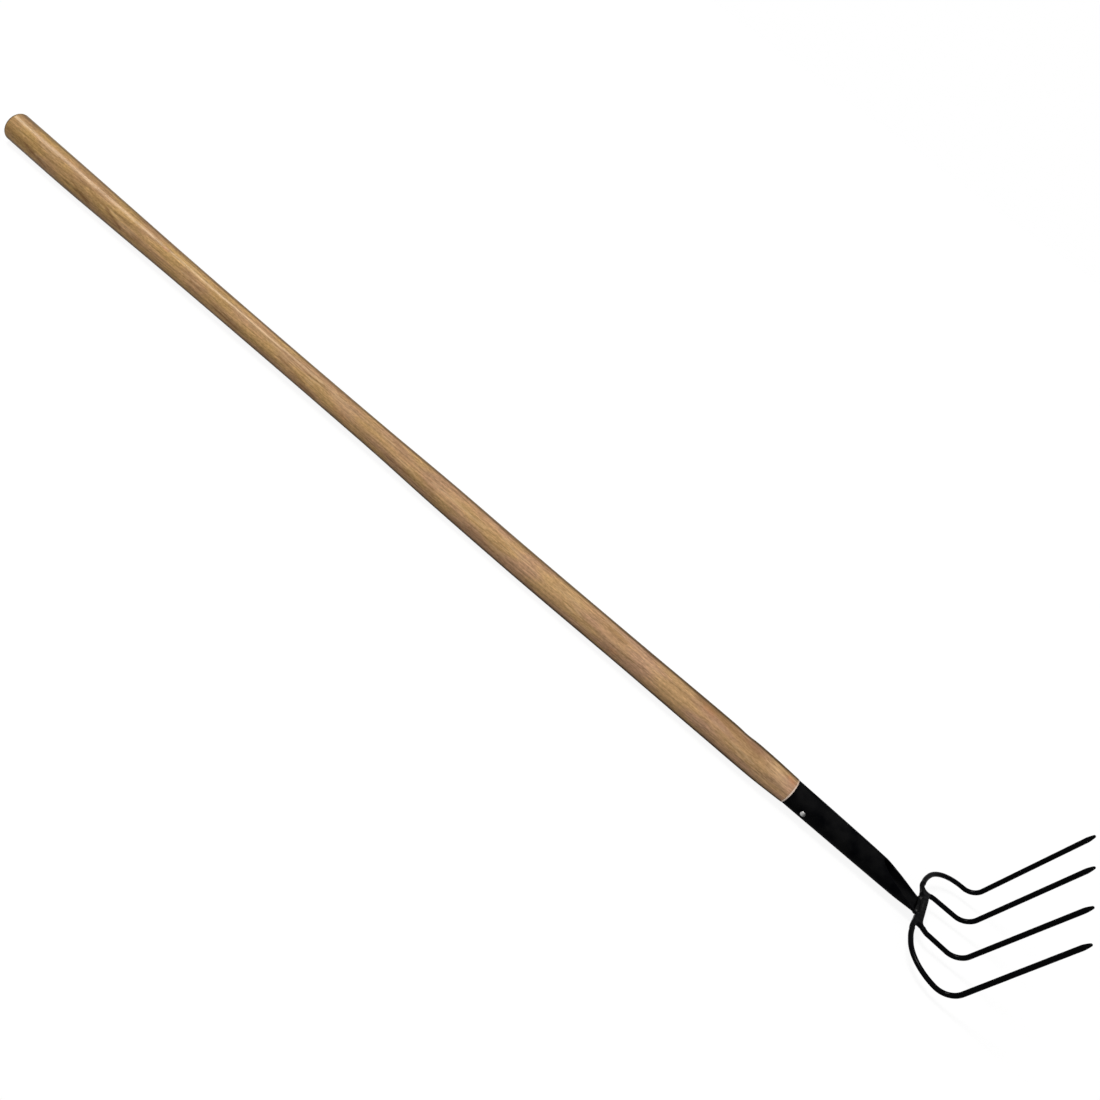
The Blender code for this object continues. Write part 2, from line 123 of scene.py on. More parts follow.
def smooth_curve(stations: np.ndarray, values: np.ndarray, at: np.ndarray) -> np.ndarray:
    """Reads a smooth curve through the values: cubic pieces whose slopes follow the neighbouring values.

    Args:
        stations: places where the values are known, rising.
        values: the values there.
        at: places to read the curve at.

    Returns:
        The curve's values, one for each place.
    """
    stations, values, at = (np.asarray(a, float) for a in (stations, values, at))
    slopes = np.gradient(values, stations)
    k = np.clip(np.searchsorted(stations, at) - 1, 0, len(stations) - 2)
    width = stations[k + 1] - stations[k]
    t = (at - stations[k]) / width
    start = (2 * t**3 - 3 * t**2 + 1) * values[k] + (t**3 - 2 * t**2 + t) * width * slopes[k]
    end = (3 * t**2 - 2 * t**3) * values[k + 1] + (t**3 - t**2) * width * slopes[k + 1]
    return start + end


def eased(low: float, high: float, at: np.ndarray) -> np.ndarray:
    """A smooth step: 0 up to low, 1 from high on, and 3t^2 - 2t^3 of the way t between them.

    Args:
        low: where the step starts.
        high: where it ends.
        at: places to read it at.

    Returns:
        The step's values.
    """
    t = np.clip((np.asarray(at, float) - low) / (high - low), 0, 1)
    return t * t * (3 - 2 * t)


def ripples(points: np.ndarray, size: float, seed: int, count: int = 9) -> np.ndarray:
    """Smooth unevenness in space: the mean of sine waves of about the same length in seeded directions.

    Args:
        points: places, as rows.
        size: the waves' length in metres.
        seed: picks the directions and phases.
        count: how many waves.

    Returns:
        A value for each place, mostly between -1 and 1.
    """
    draw = np.random.default_rng(seed)
    ways = draw.normal(size=(3, count))
    ways *= draw.uniform(*WAVE_SPREAD, count) * 2 * math.pi / size / np.linalg.norm(ways, axis=0)
    phases = draw.uniform(0, 2 * math.pi, count)
    return np.sin(points @ ways + phases).sum(axis=-1) * WAVE_GAIN / count


def unit(vectors: np.ndarray) -> np.ndarray:
    """The same vectors at length 1."""
    return vectors / np.linalg.norm(vectors, axis=-1, keepdims=True)


def full_turn(count: int) -> np.ndarray:
    """Even angles round a whole circle, from 0 on."""
    return np.linspace(0, 2 * math.pi, count, endpoint=False)


def slanted(x: np.ndarray, y: np.ndarray, z: np.ndarray, share: np.ndarray) -> np.ndarray:
    """Moves places near the socket's mouth along the shaft, so that the mouth's plane lies askew.

    Args:
        x: their places along the shaft.
        y: their places across it.
        z: their heights.
        share: how much of the slant each takes, from 0 to 1.

    Returns:
        The new places along the shaft.
    """
    lean = (z - AXIS_Z) * math.sin(MOUTH_SLANT_TURN) - y * math.cos(MOUTH_SLANT_TURN)
    return x + share * MOUTH_SLANT * lean


def grid_faces(rows: int, columns: int, wrap_rows: bool = False, wrap_columns: bool = True) -> list:
    """Four-sided faces between the neighbours of a grid of points, which are numbered row by row.

    Args:
        rows: how many rows.
        columns: how many points in a row.
        wrap_rows: whether the last row is joined to the first.
        wrap_columns: whether a row is a closed ring.

    Returns:
        The faces, as tuples of point numbers.
    """
    i, j = np.meshgrid(np.arange(rows if wrap_rows else rows - 1),
                       np.arange(columns if wrap_columns else columns - 1), indexing="ij")
    k, m = (i + 1) % rows, (j + 1) % columns
    quads = np.stack([i * columns + j, i * columns + m, k * columns + m, k * columns + j], axis=-1)
    return [tuple(quad) for quad in quads.reshape(-1, 4).tolist()]


def ringed_skin(rings: np.ndarray, first_pole: np.ndarray, last_pole: np.ndarray) -> Skin:
    """Closes a stack of rings with one point at each end.

    Args:
        rings: points as an array of rings by sides by 3.
        first_pole: the point that closes the first ring.
        last_pole: the point that closes the last ring.

    Returns:
        The closed surface.
    """
    count, sides = rings.shape[:2]
    points = np.concatenate([rings.reshape(-1, 3), [first_pole, last_pole]])
    j = np.arange(sides)
    k = (j + 1) % sides
    start = np.stack([np.full(sides, count * sides), k, j], axis=1)
    last = (count - 1) * sides
    end = np.stack([np.full(sides, count * sides + 1), last + j, last + k], axis=1)
    fans = [tuple(fan) for fan in np.concatenate([start, end]).tolist()]
    return Skin(points, grid_faces(count, sides) + fans)


def read_line(line: np.ndarray, shares: np.ndarray) -> np.ndarray:
    """Reads a line at shares of its length.

    Args:
        line: its points, close together.
        shares: from 0 to 1.

    Returns:
        The points there.
    """
    length = np.concatenate([[0], np.cumsum(np.linalg.norm(np.diff(line, axis=0), axis=1))])
    return np.stack([np.interp(shares * length[-1], length, column) for column in line.T], axis=1)


def even_steps(path: np.ndarray, step: float) -> np.ndarray:
    """Reads a line again at even steps of its length.

    Args:
        path: the line's points, close together.
        step: about how far apart the new points are.

    Returns:
        The new points, with the same ends.
    """
    length = np.linalg.norm(np.diff(path, axis=0), axis=1).sum()
    return read_line(path, np.linspace(0, 1, int(length / step) + 2))


def rounded_path(corners: list, radii: tuple, steps: int) -> np.ndarray:
    """A line from the first corner to the last, with an arc of its own radius at each corner between.

    An arc touches both stretches. Its points are c + (sin((1 - t) w) a + sin(t w) b) / sin w, where c is its
    centre, w its angle, and a and b run from the centre to its ends.

    Args:
        corners: the places where the straight stretches meet.
        radii: the arcs' radii, one for each corner but the ends.
        steps: how many points an arc has.

    Returns:
        The line's points.
    """
    path = [corners[0][None]]
    for before, corner, after, radius in zip(corners, corners[1:], corners[2:], radii):
        back, ahead = unit(before - corner), unit(after - corner)
        half = math.acos(np.clip(back @ ahead, -1, 1)) / 2
        centre = corner + unit(back + ahead) * radius / math.sin(half)
        start = corner + back * radius / math.tan(half) - centre
        end = corner + ahead * radius / math.tan(half) - centre
        sweep = math.pi - 2 * half
        t = np.linspace(0, 1, steps)[:, None]
        path.append(centre + (np.sin((1 - t) * sweep) * start + np.sin(t * sweep) * end) / math.sin(sweep))
    path.append(corners[-1][None])
    return np.concatenate(path)


def add_piece(name: str, skin: Skin, finish: bpy.types.Material) -> None:
    """Makes a smooth shaded mesh that rides on the tool's one body and replaces the solid of the same name.

    Args:
        name: the piece's name, which is that of the solid that it replaces.
        skin: its surface.
        finish: its material.
    """
    mesh = bpy.data.meshes.new(name + "_skin")
    mesh.from_pydata(skin.points.tolist(), [], skin.faces)
    mesh.validate()
    mesh.materials.append(finish)
    mesh.shade_smooth()
    mesh.set_sharp_from_angle(angle=SMOOTH_LIMIT)
    if skin.marks is not None:
        colors = mesh.color_attributes.new("figure", "FLOAT_COLOR", "POINT")
        colors.data.foreach_set("color", skin.marks.ravel())
    piece = bpy.data.objects.new(name + "_look", mesh)
    bpy.context.scene.collection.objects.link(piece)
    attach(piece, "root")
    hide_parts(name)
    LOG.info("%s: %d points, %d faces, %s", name, len(mesh.vertices), len(mesh.polygons), finish.name)


# Finishes


class Sheet:
    """A node tree while it is being filled."""

    def __init__(self, owner: Union[bpy.types.Material, bpy.types.World]) -> None:
        """Takes the tree of a material or a world."""
        owner.use_nodes = True
        self.tree = owner.node_tree

    def add(self, kind: str, inputs: dict, **settings: object) -> bpy.types.Node:
        """Adds a node.

        Args:
            kind: the node's type.
            inputs: values or other nodes' outputs, by the input's name or number.
            settings: the node's own settings.

        Returns:
            The node.
        """
        node = self.tree.nodes.new(kind)
        for key, value in settings.items():
            setattr(node, key, value)
        for key, value in inputs.items():
            if isinstance(value, Output):
                self.tree.links.new(value, node.inputs[key])
            else:
                node.inputs[key].default_value = value
        return node


class Bench(Sheet):
    """A material while it is being made: its coordinates, noises, sums and mixes."""

    def __init__(self, name: str) -> None:
        """Starts a material.

        Args:
            name: its name.
        """
        self.material = bpy.data.materials.new(name)
        super().__init__(self.material)
        self.shader = self.tree.nodes["Principled BSDF"]

    def place(self, shift: tuple = (0, 0, 0), turn: tuple = (0, 0, 0), scale: tuple = (1, 1, 1)) -> Output:
        """Object coordinates, scaled, then turned, then moved.

        Args:
            shift: the move.
            turn: the turn about each axis, in radians.
            scale: the scale along each axis.

        Returns:
            The output with the coordinates.
        """
        source = self.add("ShaderNodeTexCoord", {}).outputs["Object"]
        fitted = {"Vector": source, "Location": shift, "Rotation": turn, "Scale": scale}
        return self.add("ShaderNodeMapping", fitted).outputs["Vector"]

    def math(self, how: str, a: Source, b: Source = 0.0, c: Source = 0.0, clamp: bool = False) -> Output:
        """Works out a number from up to three others, and keeps it between 0 and 1 if clamp is set."""
        return self.add("ShaderNodeMath", {0: a, 1: b, 2: c}, operation=how, use_clamp=clamp).outputs[0]

    def vector(self, how: str, a: Source, b: Source = (0, 0, 0)) -> Output:
        """Works out a vector from others, or a number where that is what the operation gives."""
        node = self.add("ShaderNodeVectorMath", {0: a, 1: b}, operation=how)
        return node.outputs["Value" if how in MEASURES else "Vector"]

    def noise(self, place: Output, scale: float, detail: float = 2.0, rough: float = 0.5,
              result: str = "Fac") -> Output:
        """Soft cloudy noise: its clouds in a unit, its finer layers and their strength, and what it gives."""
        inputs = {"Vector": place, "Scale": scale, "Detail": detail, "Roughness": rough}
        return self.add("ShaderNodeTexNoise", inputs).outputs[result]

    def ramp(self, value: Output, *stops: tuple) -> Output:
        """Turns a number into a grey.

        Args:
            value: the number, from 0 to 1.
            stops: pairs of a place and the grey there.

        Returns:
            The output with the grey.
        """
        node = self.add("ShaderNodeValToRGB", {"Fac": value})
        points = node.color_ramp.elements
        while len(points) < len(stops):
            points.new(1.0)
        for point, (place, grey) in zip(points, stops):
            point.position = place
            point.color = (grey, grey, grey, 1)
        return node.outputs["Color"]

    def step(self, value: Output, edges: tuple) -> Output:
        """Turns a number into a grey that is 0 up to the first edge and 1 from the second one on."""
        return self.ramp(value, (edges[0], 0.0), (edges[1], 1.0))

    def mix(self, share: Output, a: Source, b: Source) -> Output:
        """Mixes two colours.

        Args:
            share: how much of b.
            a: a colour or an output.
            b: a colour or an output.

        Returns:
            The output with the colour.
        """
        node = self.add("ShaderNodeMix", {}, data_type="RGBA")
        for number, value in zip(MIX_INPUTS, (share, a, b)):
            if isinstance(value, Output):
                self.tree.links.new(value, node.inputs[number])
            elif isinstance(value, tuple):
                node.inputs[number].default_value = (*value, 1)
            else:
                node.inputs[number].default_value = value
        return node.outputs[MIX_OUTPUT]

    def finish(self, color: Output, roughness: Output, height: Output, depth: float,
               others: dict) -> bpy.types.Material:
        """Joins the results to the shader.

        Args:
            color: the output with the base colour.
            roughness: the output with the roughness.
            height: the output with the surface's height, from 0 to 1.
            depth: how many metres that height stands for.
            others: values of other shader inputs, or the outputs that drive them.

        Returns:
            The finished material.
        """
        bump = self.add("ShaderNodeBump", {"Height": height, "Strength": 1.0, "Distance": depth})
        for name, output in (("Base Color", color), ("Roughness", roughness), ("Normal", bump.outputs[0])):
            self.tree.links.new(output, self.shader.inputs[name])
        for name, value in others.items():
            if isinstance(value, Output):
                self.tree.links.new(value, self.shader.inputs[name])
            else:
                self.shader.inputs[name].default_value = value
        return self.material


@dataclass(frozen=True)
class OiledAsh:
    """Turned ash, lightly oiled. Its growth rings are cylinders round a pith that lies outside the shaft and
    leans a little, so that they meet the surface as long slanting streaks, and the butt's end as arcs. The
    shaft's marks, pale grain with painted highlight streaks of the oil's sheen, brown and rusty, come in its
    colour attribute; painted shade along its two outlines, and the butt's darkened edge, come in its alpha.

    The grain is noise drawn out along the shaft, in layers from coarse to fine: patches, strands, fibres,
    hairs and flecks. Each has its clouds in a metre along and across the shaft, detail and roughness."""

    golden: tuple = (0.496, 0.310, 0.142)
    rosy: tuple = (0.452, 0.272, 0.156)
    brown: tuple = (0.200, 0.096, 0.042)
    # The colour of the painted shade along the shaft's two outlines, and of the butt's edge darkened by
    # handling
    edge_shade_and_handling: tuple = (0.070, 0.042, 0.020)
    # The colour of paler grain and of the painted highlight streaks of the oil's sheen
    pale_and_sheen: tuple = (0.700, 0.480, 0.270)
    rust: tuple = (0.560, 0.240, 0.110)
    grain: tuple = ((17, 62, 1.0, 0.5), (6, 150, 1.0, 0.5), (15, 400, 3.0, 0.6), (60, 900, 1.0, 0.5),
                    (250, 700, 1.0, 0.5))
    patch_edges: tuple = (0.40, 0.60)
    shine_weights: tuple = (0.45, 1.00, 0.75, 0.80)
    shine_base: float = -0.475
    blue_fading: tuple = (0.20, 0.985)
    gaps: tuple = ((0.30, 0.35), (0.55, 1.0))
    ring_width: float = 0.0024
    ring_strength: float = 0.24
    ring_profile: tuple = ((0.0, 0.9), (0.10, 1.0), (0.34, 0.25), (0.70, 0.0), (0.97, 0.1), (1.0, 0.9))
    ring_bends: tuple = (2.2, 30, 30)
    ring_bend: float = 0.0085
    pith: tuple = (0.0, 0.034, -0.052)
    lean: tuple = (0.0, 0.010, 0.016)
    bare: tuple = (0.860, 0.720, 0.620)
    bare_width: float = 0.0017
    bare_edge: tuple = ((0.40, 1.0), (0.62, 0.0))
    bare_heights: tuple = ((0.0095, 0.9), (0.0135, 0.4))
    roughness: tuple = ((0.38, 0.33), (0.62, 0.19))
    gloss: float = 0.030
    sheen: tuple = (1.0, 0.80, 0.58, 1.0)
    relief: float = 0.00008

    def growth(self, bench: Bench) -> Output:
        """Growth rings: the distance from the pith, bent by slow noise, counted in ring widths.

        Args:
            bench: the material.

        Returns:
            The output that is 1 where the open early wood is, and 0 in the dense late wood.
        """
        leaning = bench.place(shift=(0, 0, -AXIS_Z), turn=self.lean)
        slow = bench.noise(bench.place(scale=self.ring_bends), 1.0, result="Color")
        bend = bench.vector("MULTIPLY", bench.vector("SUBTRACT", slow, (0.5, 0.5, 0.5)),
                            (0, self.ring_bend, self.ring_bend))
        out = bench.vector("SUBTRACT", bench.vector("ADD", leaning, bend), self.pith)
        distance = bench.vector("LENGTH", bench.vector("MULTIPLY", out, (0, 1, 1)))
        ring = bench.math("FRACT", bench.math("MULTIPLY", distance, 1 / self.ring_width))
        return bench.ramp(ring, *self.ring_profile)

    def bare_share(self, bench: Bench, centre: Output, height: Output) -> Output:
        """How bare the wood is: a narrow edge that follows the socket's slanted mouth and fades at the top.

        Args:
            bench: the material.
            centre: the output with places from the shaft's axis.
            height: the output with their heights.

        Returns:
            The output with the share, from 0 to 1.
        """
        slant = (-1, -MOUTH_SLANT * math.cos(MOUTH_SLANT_TURN), MOUTH_SLANT * math.sin(MOUTH_SLANT_TURN))
        left = bench.math("ADD", bench.vector("DOT_PRODUCT", centre, slant), MOUTH_X)
        edge = bench.ramp(bench.math("DIVIDE", left, 2 * self.bare_width), *self.bare_edge)
        return bench.math("MULTIPLY", edge, bench.ramp(height, *self.bare_heights))

    def make(self) -> bpy.types.Material:
        """Builds the material: the grain's colours, its shine, the shaft's marks and the bare edge.

        Returns:
            The material.
        """
        bench = Bench("oiled_ash")
        centre = bench.place(shift=(0, 0, -AXIS_Z))
        where = bench.add("ShaderNodeSeparateXYZ", {0: centre})
        patches, strands, fibres, hairs, flecks = (
            bench.noise(bench.place(scale=(along, across, across)), 1.0, detail, rough)
            for along, across, detail, rough in self.grain)
        tone = bench.mix(bench.step(patches, self.patch_edges), self.golden, self.rosy)
        tone = bench.mix(bench.math("MULTIPLY", self.growth(bench), self.ring_strength), tone, self.brown)
        shine = self.shine_base
        for layer, weight in zip((strands, fibres, hairs, flecks), self.shine_weights):
            shine = bench.math("MULTIPLY_ADD", layer, weight, shine)
        fading = bench.math("MULTIPLY_ADD", where.outputs["X"], *self.blue_fading)
        blue = bench.math("MULTIPLY", shine, fading)
        shine = bench.add("ShaderNodeCombineXYZ", {0: shine, 1: shine, 2: blue}).outputs["Vector"]
        tone = bench.vector("MULTIPLY", tone, shine)
        marks = bench.add("ShaderNodeAttribute", {}, attribute_name="figure")
        mark = bench.add("ShaderNodeSeparateColor", {0: marks.outputs["Color"]})
        broken = bench.ramp(hairs, *self.gaps)
        # The first channel holds paler grain and painted highlight streaks
        for number, color in enumerate((self.pale_and_sheen, self.brown, self.rust)):
            tone = bench.mix(bench.math("MULTIPLY", mark.outputs[number], broken), tone, color)
        # Painted shade along the shaft's outlines, and the butt's darkened edge, from the alpha
        tone = bench.mix(marks.outputs["Alpha"], tone, self.edge_shade_and_handling)
        tone = bench.mix(self.bare_share(bench, centre, where.outputs["Z"]), tone, self.bare)
        surface = bench.math("MULTIPLY_ADD", fibres, 0.5, bench.math("MULTIPLY", hairs, 0.5))
        gloss = bench.math("MULTIPLY_ADD", marks.outputs["Alpha"], -self.gloss, self.gloss)
        return bench.finish(tone, bench.ramp(surface, *self.roughness), surface, self.relief,
                            {"Specular IOR Level": gloss, "Specular Tint": self.sheen})


@dataclass(frozen=True)
class BlackPaint:
    """Satin black paint: slightly mottled, with grey specks where it is worn, and grey spots of painted
    highlight where light would catch it. The steel below is as even or as lumpy as the relief says. A painted
    highlight has its middle, its half sizes and its strength."""

    name: str
    black: tuple = (0.0012, 0.0012, 0.0013)
    blue: tuple = (0.0015, 0.0016, 0.0022)
    # In this paint, the grey of worn specks
    worn_and_shaded: tuple = (0.0045, 0.0044, 0.0044)
    highlight_grey: tuple = (0.060, 0.059, 0.058)
    smooth: float = 0.13
    dull: float = 0.24
    gloss: float = 0.013
    ior: float = 1.5
    relief: float = 0.00010
    relief_scale: float = 220.0
    cloud_scale: float = 46.0
    cloud_edges: tuple = (0.40, 0.62)
    grit_scale: float = 900.0
    grit_edges: tuple = (0.60, 0.72)
    grit_height: float = 0.12
    grit_share: float = 0.35
    dull_edges: tuple = (0.36, 0.62)
    highlight_grit: float = 0.8
    painted_highlights: tuple = ()

    def make(self) -> bpy.types.Material:
        """Builds the material.

        Returns:
            The material.
        """
        bench = Bench(self.name)
        place = bench.place()
        clouds = bench.noise(place, self.cloud_scale, 3.0)
        grit = bench.noise(place, self.grit_scale)
        lumps = bench.noise(place, self.relief_scale, 3.0, 0.55)
        tone = bench.mix(bench.step(clouds, self.cloud_edges), self.black, self.blue)
        specks = bench.math("MULTIPLY", bench.step(grit, self.grit_edges), clouds)
        tone = bench.mix(specks, tone, self.worn_and_shaded)
        # Grey spots of painted highlight, broken up by the grit
        for middle, size, strength in self.painted_highlights:
            off = bench.vector("DIVIDE", bench.vector("SUBTRACT", place, middle), size)
            near = bench.math("SUBTRACT", 1.0, bench.vector("LENGTH", off), clamp=True)
            highlight_share = bench.math("MULTIPLY_ADD", grit, self.highlight_grit, strength - self.highlight_grit / 2)
            tone = bench.mix(bench.math("MULTIPLY", near, highlight_share), tone, self.highlight_grey)
        even = bench.math("MULTIPLY", clouds, 1 - self.grit_share)
        patch = bench.math("MULTIPLY_ADD", grit, self.grit_share, even)
        rough = bench.ramp(patch, (self.dull_edges[0], self.smooth), (self.dull_edges[1], self.dull))
        height = bench.math("MULTIPLY_ADD", grit, self.grit_height, lumps)
        return bench.finish(tone, rough, height, self.relief,
                            {"Specular IOR Level": self.gloss, "IOR": self.ior})


SOCKET_PAINT = BlackPaint("socket_paint", black=(0.0060, 0.0060, 0.0063), relief=0.00005, relief_scale=120.0,
                          smooth=0.36, dull=0.5, gloss=0.003)
# The head's painted highlight: a grey strip along the yoke's top face
HEAD_PAINT = BlackPaint("head_paint", relief=0.00002, relief_scale=260.0, painted_highlights=(
    ((0.6636, -0.0010, 0.0196), (0.0013, 0.0130, 0.0030), 0.24),
))
# The weld's painted highlights: glints on the weld beside both lips of the socket's nose
WELD_PAINT = BlackPaint("weld_paint", relief=0.00025, relief_scale=420.0, painted_highlights=(
    ((0.6594, -0.0132, 0.0168), (0.0015, 0.0019, 0.0030), 1.4),
    ((0.6604, 0.0125, 0.0178), (0.0022, 0.0032, 0.0030), 1.0),
))


@dataclass(frozen=True)
class HammeredSteel:
    """Bright steel, set by a few blows of a hammer, with a little grime in its hollows. Its colour darkens
    towards the tool's head, between one reach behind the rivet's middle and one reach in front of it: painted
    shade, which leaves the dome lit on the butt's side."""

    bright: tuple = (0.42, 0.417, 0.413)
    # The darker colour of the painted shade towards the tool's head
    worn_and_shaded: tuple = (0.06, 0.059, 0.058)
    grimy: tuple = (0.12, 0.11, 0.10)
    middle_x: float = 0.5076
    reach: float = 0.0028
    shade_edges: tuple = (0.20, 0.80)
    blow_scale: float = 620.0
    spot_scale: float = 1500.0
    grime: tuple = ((0.52, 0.0), (0.68, 0.6))
    roughness: tuple = ((0.35, 0.22), (0.70, 0.48))
    spot_height: float = 0.10
    relief: float = 0.0002

    def make(self) -> bpy.types.Material:
        """Builds the material.

        Returns:
            The material.
        """
        bench = Bench("hammered_steel")
        place = bench.place()
        blows = bench.add("ShaderNodeTexVoronoi", {"Vector": place, "Scale": self.blow_scale},
                          feature="SMOOTH_F1")
        spots = bench.noise(place, self.spot_scale, 3.0, 0.6)
        along = bench.add("ShaderNodeSeparateXYZ", {0: place}).outputs["X"]
        share = bench.math("MULTIPLY_ADD", along, 0.5 / self.reach, 0.5 - 0.5 * self.middle_x / self.reach)
        # Painted shade: the rivet's dome darker towards the tool's head
        tone = bench.mix(bench.step(share, self.shade_edges), self.bright, self.worn_and_shaded)
        tone = bench.mix(bench.ramp(spots, *self.grime), tone, self.grimy)
        height = bench.math("MULTIPLY_ADD", spots, self.spot_height, blows.outputs["Distance"])
        return bench.finish(tone, bench.ramp(spots, *self.roughness), height, self.relief, {"Metallic": 1.0})


# Sub-assemblies


@dataclass(frozen=True)
class Streak:
    """One mark in the wood, between two places on the shaft's unrolled surface.

    A place is the distance along the tool in metres, and the angle round it in degrees: 0 faces right and 90
    faces up."""

    kind: Mark
    start: tuple
    end: tuple
    width: float
    strength: float


# The marks that stand out, by kind: where each starts and ends, its width and its strength
FIGURE = {
    # Pale marks from the butt to x = -0.22, between 35 and 62 degrees round, are painted highlight streaks of
    # the oil's sheen; the others are paler grain
    Mark.PALE_AND_SHEEN: (
        ((-0.757, 62), (-0.738, 58), 0.0022, 0.40),
        ((-0.707, 50), (-0.674, 47), 0.0010, 0.45),
        ((-0.700, 38), (-0.676, 36), 0.0009, 0.35),
        ((-0.638, 58), (-0.609, 50), 0.0017, 0.40),
        ((-0.581, 60), (-0.548, 57), 0.0022, 0.20),
        ((-0.547, 12), (-0.530, 8), 0.0030, 0.30),
        ((-0.530, 57), (-0.484, 56), 0.0010, 0.45),
        ((-0.440, 56), (-0.400, 55), 0.0009, 0.30),
        ((-0.400, 56), (-0.286, 56), 0.0013, 0.75),
        ((-0.310, 42), (-0.252, 42), 0.0009, 0.40),
        ((-0.286, 57), (-0.223, 57), 0.0012, 0.65),
        ((-0.286, 35), (-0.261, 35), 0.0009, 0.35),
        ((-0.200, 44), (-0.168, 30), 0.0045, 0.22),
        ((-0.042, 41), (0.040, 39), 0.0012, 0.40),
        ((0.061, 56), (0.098, 40), 0.0016, 0.35),
        ((0.145, 57), (0.176, 54), 0.0045, 0.20),
        ((0.338, 60), (0.352, 60), 0.0016, 0.25),
        ((0.374, 42), (0.388, 41), 0.0010, 0.40),
        ((0.400, 27), (0.424, 21), 0.0010, 0.35),
        ((0.454, 56), (0.470, 36), 0.0060, 0.28),
    ),
    Mark.BROWN: (
        ((-0.752, 8), (-0.708, -4), 0.0050, 0.42),
        ((-0.722, 2), (-0.683, -19), 0.0014, 0.80),
        ((-0.710, 26), (-0.688, 22), 0.0009, 0.50),
        ((-0.640, 16), (-0.609, -16), 0.0010, 0.45),
        ((-0.628, -1), (-0.605, -13), 0.0030, 0.70),
        ((-0.610, 28), (-0.575, 20), 0.0011, 0.55),
        ((-0.578, 18), (-0.550, -8), 0.0018, 0.80),
        ((-0.548, -12), (-0.590, -23), 0.0014, 0.40),
        ((-0.434, 18), (-0.387, 6), 0.0013, 0.45),
        ((-0.387, -8), (-0.350, -12), 0.0017, 0.65),
        ((-0.310, 48), (-0.250, 48), 0.0007, 0.45),
        ((-0.286, 22), (-0.240, 2), 0.0014, 0.55),
        ((-0.244, -17), (-0.221, -22), 0.0022, 0.70),
        ((-0.110, 0), (-0.070, -3), 0.0015, 0.40),
        ((-0.042, -20), (0.016, -24), 0.0015, 0.40),
        ((0.024, 1), (0.063, -10), 0.0013, 0.40),
        ((0.345, 78), (0.430, 66), 0.0065, 0.62),
        ((0.310, 38), (0.440, 30), 0.0070, 0.14),
    ),
    Mark.RUST: (
        ((-0.489, 54), (-0.482, 52), 0.0021, 0.60),
        ((-0.192, 4), (-0.174, 0), 0.0030, 0.20),
        ((0.236, -3), (0.242, -3), 0.0028, 0.25),
        ((0.356, 62), (0.366, 60), 0.0036, 0.28),
        ((0.473, 71), (0.478, 62), 0.0026, 0.65),
    ),
}


@dataclass(frozen=True)
class ShortStrokes:
    """Short strokes of the grain, strewn over the shaft: their count, and the ranges they are drawn from."""

    count: int = 420
    seed: int = 12
    along: tuple = (-0.745, 0.470)
    around: tuple = (-180, 180)
    length: tuple = (0.008, 0.032)
    drift: tuple = (-5, 3)
    width: tuple = (0.0006, 0.0012)
    strength: tuple = (0.12, 0.50)

    def streaks(self) -> list:
        """Draws the strokes, pale and brown by turns.

        Returns:
            The strokes as streaks.
        """
        draw = np.random.default_rng(self.seed)
        strokes = []
        for number in range(self.count):
            kind = (Mark.PALE_AND_SHEEN, Mark.BROWN)[number % 2]
            x, turn = draw.uniform(*self.along), draw.uniform(*self.around)
            end = (x + draw.uniform(*self.length), turn + draw.uniform(*self.drift))
            width, strength = draw.uniform(*self.width), draw.uniform(*self.strength)
            strokes.append(Streak(kind, (x, turn), end, width, strength))
        return strokes


@dataclass(frozen=True)
class EdgeShadeBand:
    """A band of painted shade along one of the shaft's outlines as the camera sees it: its middle as an angle
    round the shaft, how far off it the full band ends and the fading too, all in degrees, and the band's
    strength at five places along the tool."""

    middle: float
    full: float
    faded: float
    strengths: tuple
    places: tuple = (-0.76, -0.4, 0.05, 0.35, 0.45)

    def share(self, x: np.ndarray, around: np.ndarray, waver: np.ndarray) -> np.ndarray:
        """How much painted shade there is.

        Args:
            x: places along the tool.
            around: angles round it.
            waver: what the band's edges waver by, as an angle.

        Returns:
            The share at each place, from 0 to 1.
        """
        off = np.abs(np.angle(np.exp(1j * (around - math.radians(self.middle)))) + waver)
        band = 1 - eased(math.radians(self.full), math.radians(self.faded), off)
        return np.interp(x, self.places, self.strengths) * band


